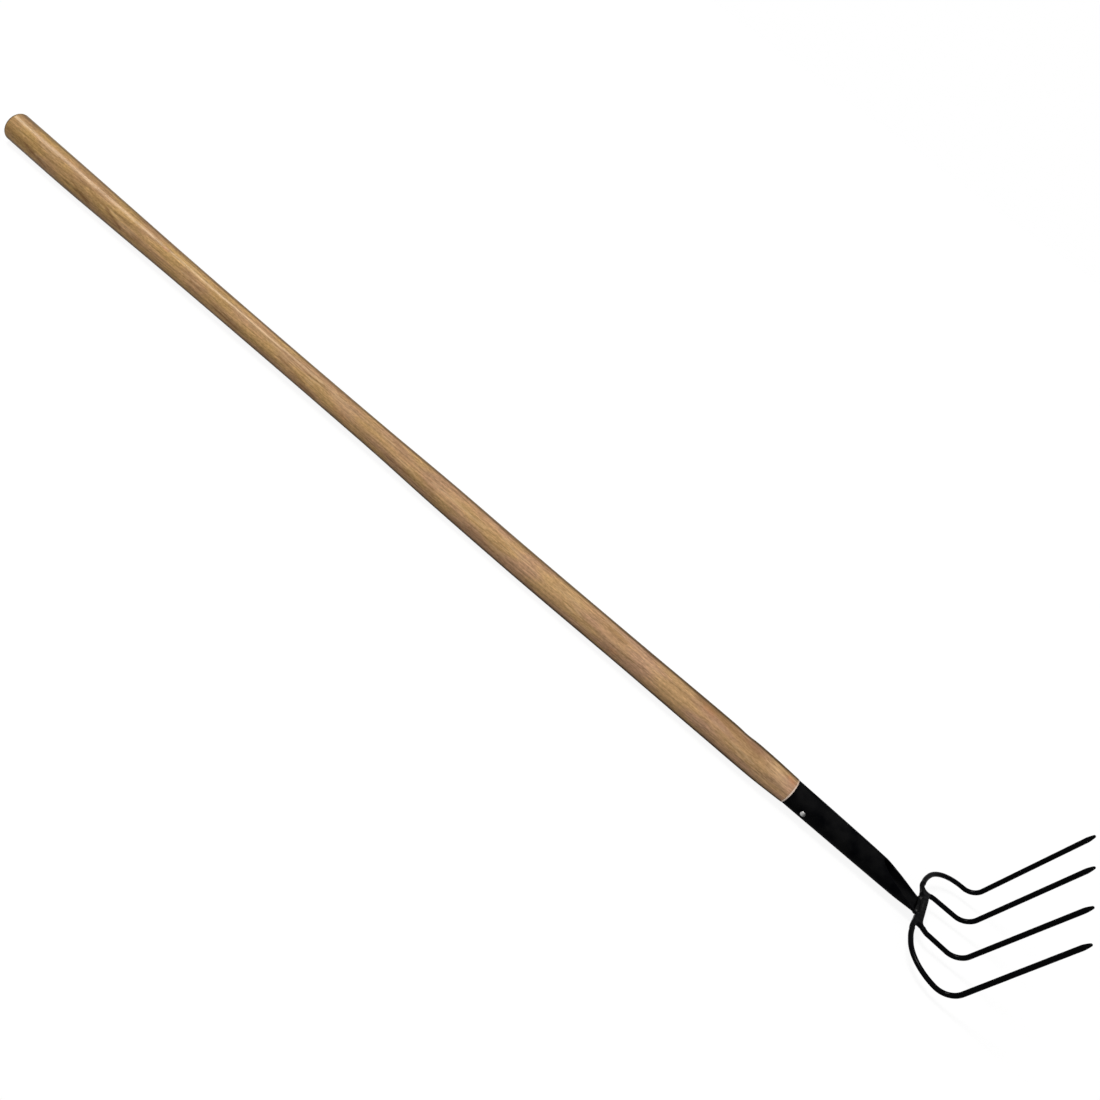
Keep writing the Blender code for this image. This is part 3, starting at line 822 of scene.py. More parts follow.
@dataclass(frozen=True)
class Figure:
    """Everything that is drawn on the shaft's unrolled surface."""

    # Painted shade along the shaft's outlines as the camera sees them, at 120 and -64 degrees round
    edge_shade_bands: tuple = (EdgeShadeBand(120, 24, 42, (0.60, 0.60, 0.70, 0.90, 0.95)),
                    EdgeShadeBand(-64, 22, 42, (0.60, 0.70, 0.90, 0.95, 0.95)))
    strokes: ShortStrokes = ShortStrokes()
    radius: float = 0.0168
    waver: float = math.radians(1.6)
    waver_size: float = 0.05
    waver_stretch: float = 0.3
    waver_seed: int = 31
    rim: tuple = (0.0018, 0.0045)

    def marks(self, x: np.ndarray, around: np.ndarray) -> np.ndarray:
        """Draws the streaks and the heartwood.

        A streak's amount is s exp(-(d / w)^2), where d is the distance to its middle line, w its width and s
        its strength. What is of one kind adds up as 1 - (1 - a)(1 - b). Two bands of painted shade run along
        the shaft's outlines as the camera sees them, with edges that waver, and handling has darkened the
        edge of the butt.

        Args:
            x: places along the tool.
            around: angles round it.

        Returns:
            The amount of each kind of mark at each place, and last that of painted edge shade and butt
            darkening.
        """
        place = np.stack([x, around * self.radius], axis=-1)
        left = np.ones((*x.shape, len(Mark) + 1))
        unrolled = np.stack([x, self.waver_stretch * around * self.radius, 0 * x], axis=-1)
        waver = self.waver * ripples(unrolled, self.waver_size, self.waver_seed)
        # Painted shade along the shaft's two outlines
        for band in self.edge_shade_bands:
            left[..., -1] *= 1 - band.share(x, around, waver)
        left[..., -1] *= eased(BUTT_X + self.rim[0], BUTT_X + self.rim[1], x)
        chosen = [Streak(kind, *mark) for kind, marks in FIGURE.items() for mark in marks]
        for streak in chosen + self.strokes.streaks():
            start, end = (np.array([at, math.radians(turn) * self.radius])
                          for at, turn in (streak.start, streak.end))
            along = end - start
            share = np.clip((place - start) @ along / (along @ along), 0, 1)
            off = np.linalg.norm(place - start - share[..., None] * along, axis=-1)
            left[..., streak.kind.value] *= 1 - streak.strength * np.exp(-(off / streak.width) ** 2)
        return 1 - left


@dataclass
class Shaft:
    """The turned ash shaft with its tenon, and a shallow dent near the socket."""

    length: float = 1.364
    tenon_length: float = 0.121
    stations: tuple = (0.0, 0.105, 0.185, 0.275, 0.405, 0.555, 0.635, 0.725, 0.845, 1.025, 1.140, 1.210,
                       1.243)
    diameters: tuple = (0.0379, 0.0376, 0.0358, 0.0334, 0.0317, 0.0313, 0.0320, 0.0347, 0.0352, 0.0347,
                        0.0354, 0.0345, 0.0316)
    bow: tuple = (0.0, 0.0010, 0.0012, 0.0013, 0.0015, 0.0016, 0.0016, 0.0020, 0.0025, 0.0013, 0.0006, 0.0003,
                  0.0)
    bow_turn: float = math.radians(50)
    butt_rounding: float = 0.004
    shoulder_rounding: float = 0.0007
    tenon_radius: float = 0.0127
    tenon_tip_radius: float = 0.0099
    tenon_chamfer: float = 0.0015
    tenon_land: float = 0.002
    slant_from: tuple = (0.020, 0.001)
    slant_to: float = 0.003
    waver: float = 0.0025
    waver_turns: float = 5.0
    dent_place: tuple = (0.410, math.radians(112))
    dent_size: tuple = (0.010, 0.60)
    dent_depth: float = 0.0008
    rings: int = 560
    sides: int = 160
    face_rings: int = 8
    face_start: float = 0.15
    edge_rings: int = 12
    lip_rings: int = 6

    def profile(self) -> tuple:
        """The turned outline: a flat butt with a rounded edge, the handle, its shoulder and the tenon.

        Returns:
            Distances from the butt's end, and the radii there.
        """
        grip = self.length - self.tenon_length
        face = np.linspace(self.face_start, 1, self.face_rings) * (self.diameters[0] / 2 - self.butt_rounding)
        angle = np.linspace(0, math.pi / 2, self.edge_rings)[1:]
        edge_x = self.butt_rounding * (1 - np.cos(angle))
        edge_r = self.diameters[0] / 2 - self.butt_rounding * (1 - np.sin(angle))
        along = np.linspace(self.butt_rounding, grip - self.shoulder_rounding, self.rings)[1:]
        along_r = smooth_curve(self.stations, self.diameters, along) / 2
        turn = np.linspace(0, math.pi / 2, self.lip_rings)[1:]
        lip_x = grip - self.shoulder_rounding * (1 - np.sin(turn))
        lip_r = along_r[-1] - self.shoulder_rounding * (1 - np.cos(turn))
        tenon_x = (grip, grip + self.tenon_land, self.length - self.tenon_chamfer, self.length)
        tenon_r = (self.tenon_radius, self.tenon_radius, self.tenon_tip_radius,
                   self.tenon_tip_radius - self.tenon_chamfer)
        x = np.concatenate([np.zeros(len(face)), edge_x, along, lip_x, tenon_x])
        return x, np.concatenate([face, edge_r, along_r, lip_r, tenon_r])

    def skin(self) -> Skin:
        """Turns the outline about the shaft's middle line, which bows a little to one side.

        A point is (x, -bow(x) cos b + r(x) cos a, axis - bow(x) sin b + r(x) sin a), where a runs round the
        shaft and b is the way that the bow leans. The radius wavers by a few hundredths of a millimetre, and
        the dent takes away d exp(-u^2 - v^2), with u along the shaft and v round it. Near the socket's mouth
        the rings slant as it does.

        Returns:
            The shaft's surface.
        """
        x, radius = self.profile()
        angle = full_turn(self.sides)[None]
        bow = smooth_curve(self.stations, self.bow, np.minimum(x, self.stations[-1]))
        middle_y = -bow * math.cos(self.bow_turn)
        middle_z = AXIS_Z - bow * math.sin(self.bow_turn)
        waver = 1 - self.waver * (1 + np.sin(2 * angle + self.waver_turns * x[:, None])) / 2
        along = (BUTT_X + x)[:, None]
        around = np.arctan2(np.sin(angle), -np.cos(angle))
        dent = np.exp(-((along - self.dent_place[0]) / self.dent_size[0]) ** 2
                      - ((around - self.dent_place[1]) / self.dent_size[1]) ** 2)
        reach = radius[:, None] * waver - self.dent_depth * dent
        y = middle_y[:, None] + reach * np.cos(angle)
        z = middle_z[:, None] + reach * np.sin(angle)
        grip = self.length - self.tenon_length
        share = eased(grip - self.slant_from[0], grip - self.slant_from[1], x)
        share = share * (1 - eased(grip + self.slant_to, self.length, x))
        rings = np.stack([slanted(np.broadcast_to(along, reach.shape), y, z, share[:, None]), y, z], axis=-1)
        first = (BUTT_X, middle_y[0], middle_z[0])
        last = (BUTT_X + self.length, middle_y[-1], middle_z[-1])
        skin = ringed_skin(rings, np.array(first), np.array(last))
        skin.marks = np.zeros((len(skin.points), 4))
        skin.marks[:-2] = Figure().marks(rings[..., 0], np.broadcast_to(around, reach.shape)).reshape(-1, 4)
        return skin

    def build(self, finish: bpy.types.Material) -> None:
        """Adds the shaft in its finish."""
        add_piece("shaft", self.skin(), finish)


@dataclass
class Socket:
    """The rolled steel socket: a tube with a seam at its front, cut open like a quill towards its nose."""

    length: float = 0.1770
    wall: float = 0.0023
    stations: tuple = (0.0, 0.069, 0.113, 0.134, 0.154, 0.1770)
    half_widths: tuple = (0.0154, 0.0145, 0.0139, 0.0137, 0.0136, 0.0135)
    half_heights: tuple = (0.0154, 0.0146, 0.0139, 0.0132, 0.0118, 0.0068)
    drops: tuple = (0.0, 0.0004, 0.0008, 0.0012, 0.0020, 0.0042)
    seam_half_angle: float = math.radians(2.2)
    quill_start: float = 0.119
    quill_half_angle: float = math.radians(90)
    quill_power: float = 0.485
    slant_length: float = 0.020
    edge_rounding: float = 0.0007
    edge_rings: int = 6
    seam_rings: int = 90
    quill_rings: int = 90
    quill_ring_power: float = 1.8
    arc_steps: int = 96
    lip_steps: int = 6
    lip_start: float = 0.12

    def section(self, distance: np.ndarray) -> tuple:
        """The socket's section at distances from its mouth.

        Args:
            distance: the distances.

        Returns:
            Half width, half height, centre height and half opening, for each distance.
        """
        half_width = smooth_curve(self.stations, self.half_widths, distance)
        half_height = smooth_curve(self.stations, self.half_heights, distance)
        centre = AXIS_Z - smooth_curve(self.stations, self.drops, distance)
        share = np.maximum(distance - self.quill_start, 0) / (self.length - self.quill_start)
        widening = self.quill_half_angle - self.seam_half_angle
        opening = self.seam_half_angle + widening * share**self.quill_power
        return half_width, half_height, centre, opening

    def skin(self) -> Skin:
        """The sheet as a loop round its own thickness, carried along the socket.

        The middle of the sheet is the ellipse (a sin t, c + b cos t) from one lip to the other. The loop runs
        along it at half the wall's thickness outside, round the lip in a half circle, and back inside. Near
        the mouth and the nose the thickness shrinks along a quarter circle, which rounds these edges.

        Returns:
            The socket's surface.
        """
        ease = self.edge_rounding * (1 - np.cos(np.linspace(0, math.pi / 2, self.edge_rings)))
        seam = np.linspace(self.edge_rounding, self.quill_start, self.seam_rings)[1:]
        quill_length = self.length - self.edge_rounding - self.quill_start
        shares = np.linspace(0, 1, self.quill_rings)[1:] ** self.quill_ring_power
        quill = self.quill_start + quill_length * shares
        x = np.concatenate([ease, seam, quill, self.length - ease[-2::-1]])
        half_width, half_height, centre, opening = self.section(x)
        near = np.minimum(x, self.length - x)
        inset = self.edge_rounding - np.sqrt(np.maximum(
            self.edge_rounding**2 - np.maximum(self.edge_rounding - near, 0) ** 2, 0))
        thick = self.wall / 2 - inset
        mid_a, mid_b = half_width - self.wall / 2, half_height - self.wall / 2
        round_angle = np.linspace(self.lip_start, math.pi / 2, self.lip_steps)
        lip_shift = thick / ((mid_a + mid_b) / 2)
        first = opening[:, None] + lip_shift[:, None] * (1 - np.cos(round_angle))
        share = np.linspace(0, 1, self.arc_steps + 1)[None, 1:-1]
        start = (opening + lip_shift)[:, None]
        arc = start + (2 * math.pi - 2 * start) * share
        angle = np.concatenate([first, arc, 2 * math.pi - first[:, ::-1]], axis=1)
        offset = np.concatenate([np.sin(round_angle), np.ones(share.shape[1]), np.sin(round_angle)[::-1]])
        offset = thick[:, None] * offset
        angle = np.concatenate([angle, angle[:, ::-1]], axis=1)
        offset = np.concatenate([offset, -offset[:, ::-1]], axis=1)
        across, up = np.sin(angle), np.cos(angle)
        normal_y, normal_z = mid_b[:, None] * across, mid_a[:, None] * up
        size = np.hypot(normal_y, normal_z)
        y = mid_a[:, None] * across + offset * normal_y / size
        z = centre[:, None] + mid_b[:, None] * up + offset * normal_z / size
        along = np.broadcast_to((MOUTH_X + x)[:, None], y.shape)
        slant = 1 - eased(0.0, self.slant_length, x)[:, None]
        rings = np.stack([slanted(along, y, z, slant), y, z], axis=-1)
        count, sides = rings.shape[:2]
        j = np.arange(sides // 2 - 1)
        partner = sides - 1 - j
        mouth = np.stack([partner, partner - 1, j + 1, j], axis=1)
        nose = (count - 1) * sides + mouth[:, ::-1]
        ends = [tuple(quad) for quad in np.concatenate([mouth, nose]).tolist()]
        return Skin(rings.reshape(-1, 3), grid_faces(count, sides) + ends)

    def build(self, paint: bpy.types.Material) -> None:
        """Adds the socket in its paint."""
        add_piece("socket", self.skin(), paint)


@dataclass
class Rivet:
    """The rivet across the socket and the tenon. Its head and peened end have a radius and a height each."""

    from_mouth: float = 0.0245
    turn: float = math.radians(12)
    shank: float = 0.0020
    head: tuple = (0.0032, 0.0012)
    peen: tuple = (0.0030, 0.0010)
    gap: float = 0.0003
    rings: int = 10
    sides: int = 40
    blow_size: float = 0.0021
    blow_depth: float = 0.004
    blow_seed: int = 5

    def skin(self, socket: Socket) -> Skin:
        """Turns the rivet about its own axis: a peened end, the shank and a domed head, dented by blows.

        Args:
            socket: the socket that it holds.

        Returns:
            The rivet's surface.
        """
        seat = float(socket.section(np.array([self.from_mouth]))[0][0]) + self.gap
        angle = np.linspace(0, math.pi / 2, self.rings)
        peen_x = -seat - self.peen[1] * np.cos(angle)[1:]
        peen_r = self.peen[0] * np.sin(angle)[1:]
        head_x = seat + self.head[1] * np.sin(angle)[:-1]
        head_r = self.head[0] * np.cos(angle)[:-1]
        along = np.concatenate([peen_x, (-seat, seat), head_x])
        radius = np.concatenate([peen_r, (self.shank, self.shank), head_r])
        around = full_turn(self.sides)[None]
        across, up = radius[:, None] * np.cos(around), radius[:, None] * np.sin(around)
        rings = np.stack([np.broadcast_to(along[:, None], up.shape), across, up], axis=-1)
        skin = ringed_skin(rings, np.array([-seat - self.peen[1], 0, 0]),
                           np.array([seat + self.head[1], 0, 0]))
        dents = ripples(skin.points, self.blow_size, self.blow_seed) * (np.abs(skin.points[:, 0]) > seat)
        skin.points *= 1 - self.blow_depth * np.maximum(dents, 0)[:, None]
        direction = np.array([0, -math.cos(self.turn), -math.sin(self.turn)])
        side = np.array([1.0, 0.0, 0.0])
        turn = np.stack([direction, side, np.cross(direction, side)])
        middle = np.array([MOUTH_X + self.from_mouth, 0, AXIS_Z])
        return Skin(middle + skin.points @ turn, skin.faces)

    def build(self, steel: bpy.types.Material, socket: Socket) -> None:
        """Adds the rivet in bare steel."""
        add_piece("socket_rivet", self.skin(socket), steel)


@dataclass
class Bar:
    """One tine's bar: its side, where its straight stretches meet, the radii of the bends between them, and
    how far to the front its point is drawn, as a share of its thinning.

    The places are from the shoulder point, and a right bar is given mirrored to the left."""

    name: str
    side: Side
    root: tuple
    corner: tuple
    bend: float
    elbow: tuple
    elbow_radius: float
    tip: tuple
    point_lean: float

    def direction(self) -> np.ndarray:
        """The way the bar leaves the yoke, in plan."""
        return unit(np.subtract(self.corner, self.root))

    def flip(self) -> np.ndarray:
        """What mirrors a place to the bar's own side."""
        return np.array([1, self.side.value, 1])


BARS = (
    Bar("outer_left", Side.LEFT, (-0.0598, 0.0405), (-0.0496, 0.0987), 0.0504, (0.0017, 0.0995), 0.0161,
        (0.0391, 0.1043, 0.1502), -0.15),
    Bar("inner_left", Side.LEFT, (-0.0480, 0.0297), (-0.0434, 0.0321), 0.0060, (0.0011, 0.0376), 0.0181,
        (0.0402, 0.0382, 0.1506), 0.0),
    Bar("inner_right", Side.RIGHT, (-0.0473, 0.0319), (-0.0415, 0.0349), 0.0060, (0.0008, 0.0325), 0.0183,
        (0.0406, 0.0387, 0.1508), 0.1),
    Bar("outer_right", Side.RIGHT, (-0.0579, 0.0440), (-0.0514, 0.0989), 0.0410, (0.0001, 0.1002), 0.0210,
        (0.0403, 0.1043, 0.1509), 0.2),
)


@dataclass
class Collar:
    """The ring of weld round a tine's root: its radii at stations along the bar, and its laps."""

    stations: tuple = (-0.0006, 0.0, 0.0006, 0.0013, 0.0021, 0.0029, 0.0036)
    radii: tuple = (0.0026, 0.00285, 0.00295, 0.0030, 0.00295, 0.00285, 0.0026)
    core: float = 0.0022
    rings: int = 26
    sides: int = 56
    lap_depth: float = 0.014
    lap_count: int = 9
    lap_turn: float = 1500
    lap_from: float = 0.0029

    def skin(self, bar: Bar) -> Skin:
        """A ring of weld: a closed profile of radii along the bar, turned about it, with lapped ripples.

        Args:
            bar: the bar.

        Returns:
            The collar's surface.
        """
        ahead = np.array([*bar.direction(), 0.0]) * bar.flip()
        start = (SHOULDER + (*bar.root, ROOT_RISE)) * bar.flip()
        across = np.cross((0, 0, 1), ahead)
        along = np.linspace(self.stations[0], self.stations[-1], self.rings)
        radius = smooth_curve(self.stations, self.radii, along)
        along = np.concatenate([along, along[[-1, 0]]])
        radius = np.concatenate([radius, np.full(2, self.core)])
        angle = full_turn(self.sides)
        spoke = np.cos(angle)[:, None] * across + np.sin(angle)[:, None] * np.array([0, 0, 1.0])
        wave = np.sin(self.lap_count * angle[None] + self.lap_turn * along[:, None])
        lapped = radius[:, None] * (1 + self.lap_depth * wave * (radius > self.lap_from)[:, None])
        rings = start + along[:, None, None] * ahead + lapped[..., None] * spoke
        return Skin(rings.reshape(-1, 3), grid_faces(len(along), len(angle), wrap_rows=True))


@dataclass
class Tines:
    """The four round tines with their arms, and the weld collars round their roots."""

    radius: float = 0.00287
    taper: float = 0.0105
    taper_power: float = 1.5
    tip_radius: float = 0.00125
    bulge: float = 0.0006
    bulge_length: float = 0.024
    step: float = 0.0009
    sides: int = 36
    bend_steps: int = 60
    end_steps: int = 3
    end_angles: tuple = (0.1, 1.5, 9)
    end_floor: float = 0.003
    uneven: float = 0.012
    uneven_size: float = 0.011
    uneven_seed: int = 3

    def path(self, bar: Bar) -> np.ndarray:
        """The bar's middle line: from its root level with the yoke, round its bend and its elbow, to its tip.

        The wide loop of an outer bar starts with a slight bulge to the rear.

        Args:
            bar: the bar.

        Returns:
            Points at even steps, on the bar's own side.
        """
        heights = (ROOT_RISE, ROOT_RISE * bar.corner[0] / bar.root[0], 0.0)
        plan = [SHOULDER + (*place, z) for place, z in zip((bar.root, bar.corner, bar.elbow), heights)]
        plan.append(SHOULDER + bar.tip)
        path = even_steps(rounded_path(plan, (bar.bend, bar.elbow_radius), self.bend_steps), self.step)
        if bar.bend > self.bulge_length:
            share = np.clip(np.arange(len(path)) * self.step / self.bulge_length, 0, 1)
            path[:, 0] -= self.bulge * np.sin(math.pi * share) ** 2
        return path * bar.flip()

    def skin(self, bar: Bar) -> Skin:
        """A round bar carried along its middle line, which thins to a forged point over its last stretch.

        A point is p(s) + r(s) (u cos a + v sin a), with u and v across the line. r is the bar's radius, and
        near the tip it falls as 1 - (1 - t)^n of the way t left, and then follows the round of the blunt end.
        The point is drawn to one side, so that the other is beveled more. Forging leaves it a little uneven.

        Args:
            bar: the bar.

        Returns:
            The tine's surface.
        """
        path = self.path(bar)
        back = unit(path[-self.end_steps] - path[-1])
        end = self.tip_radius * (1 - np.sin(np.linspace(*self.end_angles)))
        path = np.concatenate([path[:-self.end_steps], path[-1] + back * end[:, None]])
        left = np.append(np.linalg.norm(self.path(bar)[-1] - path[:-len(end)], axis=1), end)
        share = np.clip(left / self.taper, 0, 1)
        radius = self.tip_radius + (self.radius - self.tip_radius) * (1 - (1 - share) ** self.taper_power)
        drawn = self.radius - radius
        blunt = 1 - (1 - np.minimum(left / self.tip_radius, 1)) ** 2
        radius = radius * np.sqrt(np.clip(blunt, self.end_floor, 1))
        ahead = unit(np.gradient(path, axis=0))
        front = np.array([1.0, 0, 0]) - ahead * ahead[:, :1]
        path = path + bar.point_lean * drawn[:, None] * front * (left < self.taper)[:, None]
        side = unit(np.cross(ahead, np.array([1.0, -1.0, 0.0]) * bar.flip()))
        other = np.cross(ahead, side)
        angle = full_turn(self.sides)
        spoke = side[:, None] * np.cos(angle)[:, None] + other[:, None] * np.sin(angle)[:, None]
        rings = path[:, None] + radius[:, None, None] * spoke
        seed = self.uneven_seed + len(bar.name)
        uneven = 1 - self.uneven * (1 + ripples(rings, self.uneven_size, seed))
        rings = path[:, None] + radius[:, None, None] * uneven[..., None] * spoke
        return ringed_skin(rings, path[0], path[-1] + ahead[-1] * end[-1])

    def build(self, paint: bpy.types.Material, weld: bpy.types.Material) -> None:
        """Adds the tines and their collars.

        Args:
            paint: the tines' black paint.
            weld: the collars' paint over weld.
        """
        for bar in BARS:
            add_piece(f"tine_{bar.name}", self.skin(bar), paint)
            add_piece(f"weld_{bar.name}", Collar().skin(bar), weld)


@dataclass
class Yoke:
    """The forged yoke, which forks into two lobes at each end."""

    thickness: float = 0.0066
    rounding: float = 0.0016
    lobe_rounding: float = 0.0027
    lobe_thickness: float = 0.0059
    lobe_reach: tuple = (0.003, 0.018)
    rear_x: float = -0.0570
    front_x: float = -0.0490
    step_start: float = 0.0165
    step_ease: float = 0.0015
    step_left: tuple = (-0.0598, 0.0225)
    step_right: tuple = (-0.0590, 0.0206)
    rear_ease: float = 0.009
    front_straight: float = 0.014
    front_ease: float = 0.003
    lobe_half_width: float = 0.0028
    lobe_ease: float = 0.006
    crotch_ease: tuple = (0.0080, 0.0056)
    curve_steps: int = 60
    long_steps: int = 64
    wide_steps: int = 80
    crowding: float = 1 / 3
    forging: float = 0.00009
    forging_size: float = 0.007
    forging_seed: int = 21
    forging_from: float = 0.0012

    def bezier(self, start: object, pull_a: object, pull_b: object, end: object) -> np.ndarray:
        """A cubic curve that sets out towards pull_a and comes in from pull_b.

        Args:
            start: its start.
            pull_a: the point that it sets out towards.
            pull_b: the point that it comes from.
            end: its end.

        Returns:
            Its points.
        """
        t = np.linspace(0, 1, self.curve_steps)[:, None]
        corners = (np.asarray(p, float) for p in (start, pull_a, pull_b, end))
        weights = ((1 - t) ** 3, 3 * t * (1 - t) ** 2, 3 * t**2 * (1 - t), t**3)
        return sum(w * c for w, c in zip(weights, corners))

    def half(self, outer: Bar, inner: Bar, step_end: tuple) -> np.ndarray:
        """Half the yoke in plan, as a grid blended between its four edges (a Coons patch).

        The edges are the tool's middle line, the rear edge, the front edge, and the ear's end: the outer
        lobe's end face, the crotch, and the inner lobe's end face. A point is the sum of the two blends
        between opposite edges less the blend of the four corners. The points crowd a little towards the ear
        and both long edges.

        Args:
            outer: the bar at the outer lobe.
            inner: the bar at the inner lobe.
            step_end: where the rear edge's step beside the socket's nose ends.

        Returns:
            Points as an array of long steps by wide steps by 2, on the left.
        """
        lobes = []
        for bar in (outer, inner):
            ahead = bar.direction()
            left = np.array([-ahead[1], ahead[0]]) * self.lobe_half_width
            lobes.append((bar.root + left, bar.root - left, ahead))
        (far, far_in, outer_ahead), (near_in, near, inner_ahead) = lobes
        step = np.array([[self.rear_x, self.step_start], step_end])
        ease = np.array([0, self.step_ease])
        beside_nose = self.bezier(step[0], step[0] + ease, step[1] - ease, step[1])
        to_lobe = self.bezier(step[1], step[1] + (0, self.rear_ease), far - outer_ahead * self.lobe_ease, far)
        rear = np.concatenate([[[self.rear_x, 0.0]], beside_nose, to_lobe[1:]])
        end_of_front = np.array([self.front_x, self.front_straight])
        front = np.concatenate([[[self.front_x, 0.0]],
                                self.bezier(end_of_front, end_of_front + (0, self.lobe_ease),
                                            near - inner_ahead * self.front_ease, near)])
        crotch = self.bezier(far_in, far_in - outer_ahead * self.crotch_ease[0],
                             near_in - inner_ahead * self.crotch_ease[1], near_in)
        ear = np.concatenate([[far], crotch, [near]])
        s = np.sin(np.linspace(0, math.pi / 2, self.long_steps))
        even = np.linspace(0, 1, self.wide_steps)
        t = even + self.crowding * ((1 - np.cos(math.pi * even)) / 2 - even)
        rear, front, ear = read_line(rear, s)[:, None], read_line(front, s)[:, None], read_line(ear, t)[None]
        middle = read_line(np.array([[self.rear_x, 0.0], [self.front_x, 0.0]]), t)[None]
        s, t = s[:, None, None], t[None, :, None]
        corners = ((1 - s) * (1 - t) * rear[:1] + (1 - s) * t * front[:1] + s * (1 - t) * rear[-1:]
                   + s * t * front[-1:])
        return (1 - t) * rear + t * front + (1 - s) * middle + s * ear - corners

    def skin(self) -> Skin:
        """The plan with its thickness: a top sheet, a bottom sheet and a strip between their rims.

        Within the rounding of the outline a sheet comes down along a quarter circle. Towards the lobes' ends
        the rounding grows and the thickness shrinks, until the bar is nearly as round as the tines are. The
        sheets carry the faint unevenness that the forging hammer leaves.

        Returns:
            The yoke's surface.
        """
        left = self.half(BARS[0], BARS[1], self.step_left)
        right = self.half(BARS[3], BARS[2], self.step_right) * (1, -1)
        plan = np.concatenate([right[:0:-1], left])
        rows, columns = plan.shape[:2]
        i, j = np.arange(rows), np.arange(columns)
        rim = np.concatenate([i * columns, (rows - 1) * columns + j[1:], i[-2::-1] * columns + columns - 1,
                              j[-2:0:-1]])
        flat = plan.reshape(-1, 2)
        outline = flat[rim]
        follow = np.roll(outline, -1, axis=0)
        along = follow - outline
        share = np.einsum("pkc,kc->pk", flat[:, None] - outline[None], along) / (along**2).sum(1)
        near = outline[None] + np.clip(share, 0, 1)[..., None] * along[None]
        depth = np.linalg.norm(flat[:, None] - near, axis=2).min(axis=1)
        depth[rim] = 0
        roots = np.array([np.multiply(bar.root, (1, bar.side.value)) for bar in BARS])
        away = np.linalg.norm(flat[:, None] - roots[None], axis=2).min(axis=1)
        lobe = 1 - eased(*self.lobe_reach, away)
        rounding = self.rounding + (self.lobe_rounding - self.rounding) * lobe
        thickness = self.thickness + (self.lobe_thickness - self.thickness) * lobe
        bite = np.maximum(rounding - depth, 0)
        half = thickness / 2 - rounding + np.sqrt(np.maximum(rounding**2 - bite**2, 0))
        solid = np.column_stack([flat, np.zeros(len(flat))])
        blows = self.forging * (1 + ripples(solid, self.forging_size, self.forging_seed))
        half = half - blows * eased(0.0, self.forging_from, depth)
        top = SHOULDER + np.column_stack([flat, ROOT_RISE + half])
        bottom = SHOULDER + np.column_stack([flat, ROOT_RISE - half])
        sheet = grid_faces(rows, columns, wrap_columns=False)
        count = len(flat)
        faces = [face[::-1] for face in sheet] + [tuple(n + count for n in face) for face in sheet]
        ring = np.stack([rim, np.roll(rim, -1)], axis=1)
        wall = np.column_stack([ring[:, 0], ring[:, 1], ring[:, 1] + count, ring[:, 0] + count])
        return Skin(np.concatenate([top, bottom]), faces + [tuple(quad) for quad in wall.tolist()])

    def build(self, paint: bpy.types.Material) -> None:
        """Adds the yoke in black paint."""
        add_piece("yoke", self.skin(), paint)


@dataclass
class NeckWeld:
    """The weld that closes the socket's nose and joins it to the yoke."""

    half_angle: float = math.radians(97)
    middle_x: float = 0.6602
    half_length: float = 0.0015
    crown: float = 0.0010
    sag: float = 0.0006
    ripple: float = 0.00016
    ripple_count: int = 26
    rounding: float = 0.0007
    lap: float = 0.0021
    flare: float = 0.0016
    rise: float = 0.0021
    reach: float = 0.0012
    swell_from: tuple = (math.radians(55), math.radians(86))
    core: float = 0.35
    steps: int = 150
    back_steps: int = 60
    rings: int = 17

    def skin(self, socket: Socket) -> Skin:
        """The weld in the socket's nose: it closes it, joins it to the yoke and fills the corners beside it.

        Its outline follows the nose's sheet from lip to lip a little outside it, with the laps of a hand-laid
        bead, and comes back between the lips along a sagging line. The outline is drawn through the weld's
        thickness and shrinks along a quarter circle towards both of its faces. Towards the yoke it widens at
        the lips and rises, which fills the corners.

        Args:
            socket: the socket, whose nose it follows.

        Returns:
            The weld's surface.
        """
        half_width, half_height, centre, _ = (float(v[0]) for v in socket.section(np.array([socket.length])))
        angle = np.linspace(-self.half_angle, self.half_angle, self.steps)
        crown = self.crown + self.ripple * np.sin(angle * self.ripple_count)
        out = unit(np.stack([half_height * np.sin(angle), -half_width * np.cos(angle)], axis=1))
        sheet = np.stack([half_width * np.sin(angle), centre - half_height * np.cos(angle)], axis=1)
        outer = sheet + crown[:, None] * out
        across = np.linspace(1, -1, self.back_steps)[1:-1]
        back = np.stack([outer[-1, 0] * across, outer[-1, 1] - self.sag * (1 - across**2)], axis=1)
        loop = np.concatenate([outer, back])
        side = np.concatenate([np.sign(angle) * eased(*self.swell_from, np.abs(angle)), across])
        core = np.array([0.0, centre - self.core * half_height])
        spoke = unit(loop - core)
        turn = np.linspace(-math.pi / 2, math.pi / 2, self.rings)[:, None]
        ahead = 0.5 + 0.5 * np.sin(turn)
        flat = loop - (self.rounding * (1 - np.cos(turn)))[..., None] * spoke
        flat[..., 0] += side * (self.lap + self.flare * ahead)
        raised = np.concatenate([np.abs(side[:len(angle)]), np.ones(len(across))])
        flat[..., 1] += self.rise * ahead * raised
        x = self.middle_x + self.half_length * np.sin(turn) - self.reach * (1 - ahead) * np.abs(side)
        rings = np.concatenate([x[..., None], flat], axis=2)
        return ringed_skin(rings, np.array([x[0].mean(), *core]), np.array([x[-1].mean(), *core]))

    def build(self, paint: bpy.types.Material, socket: Socket) -> None:
        """Adds the weld in its paint."""
        add_piece("neck_weld", self.skin(socket), paint)


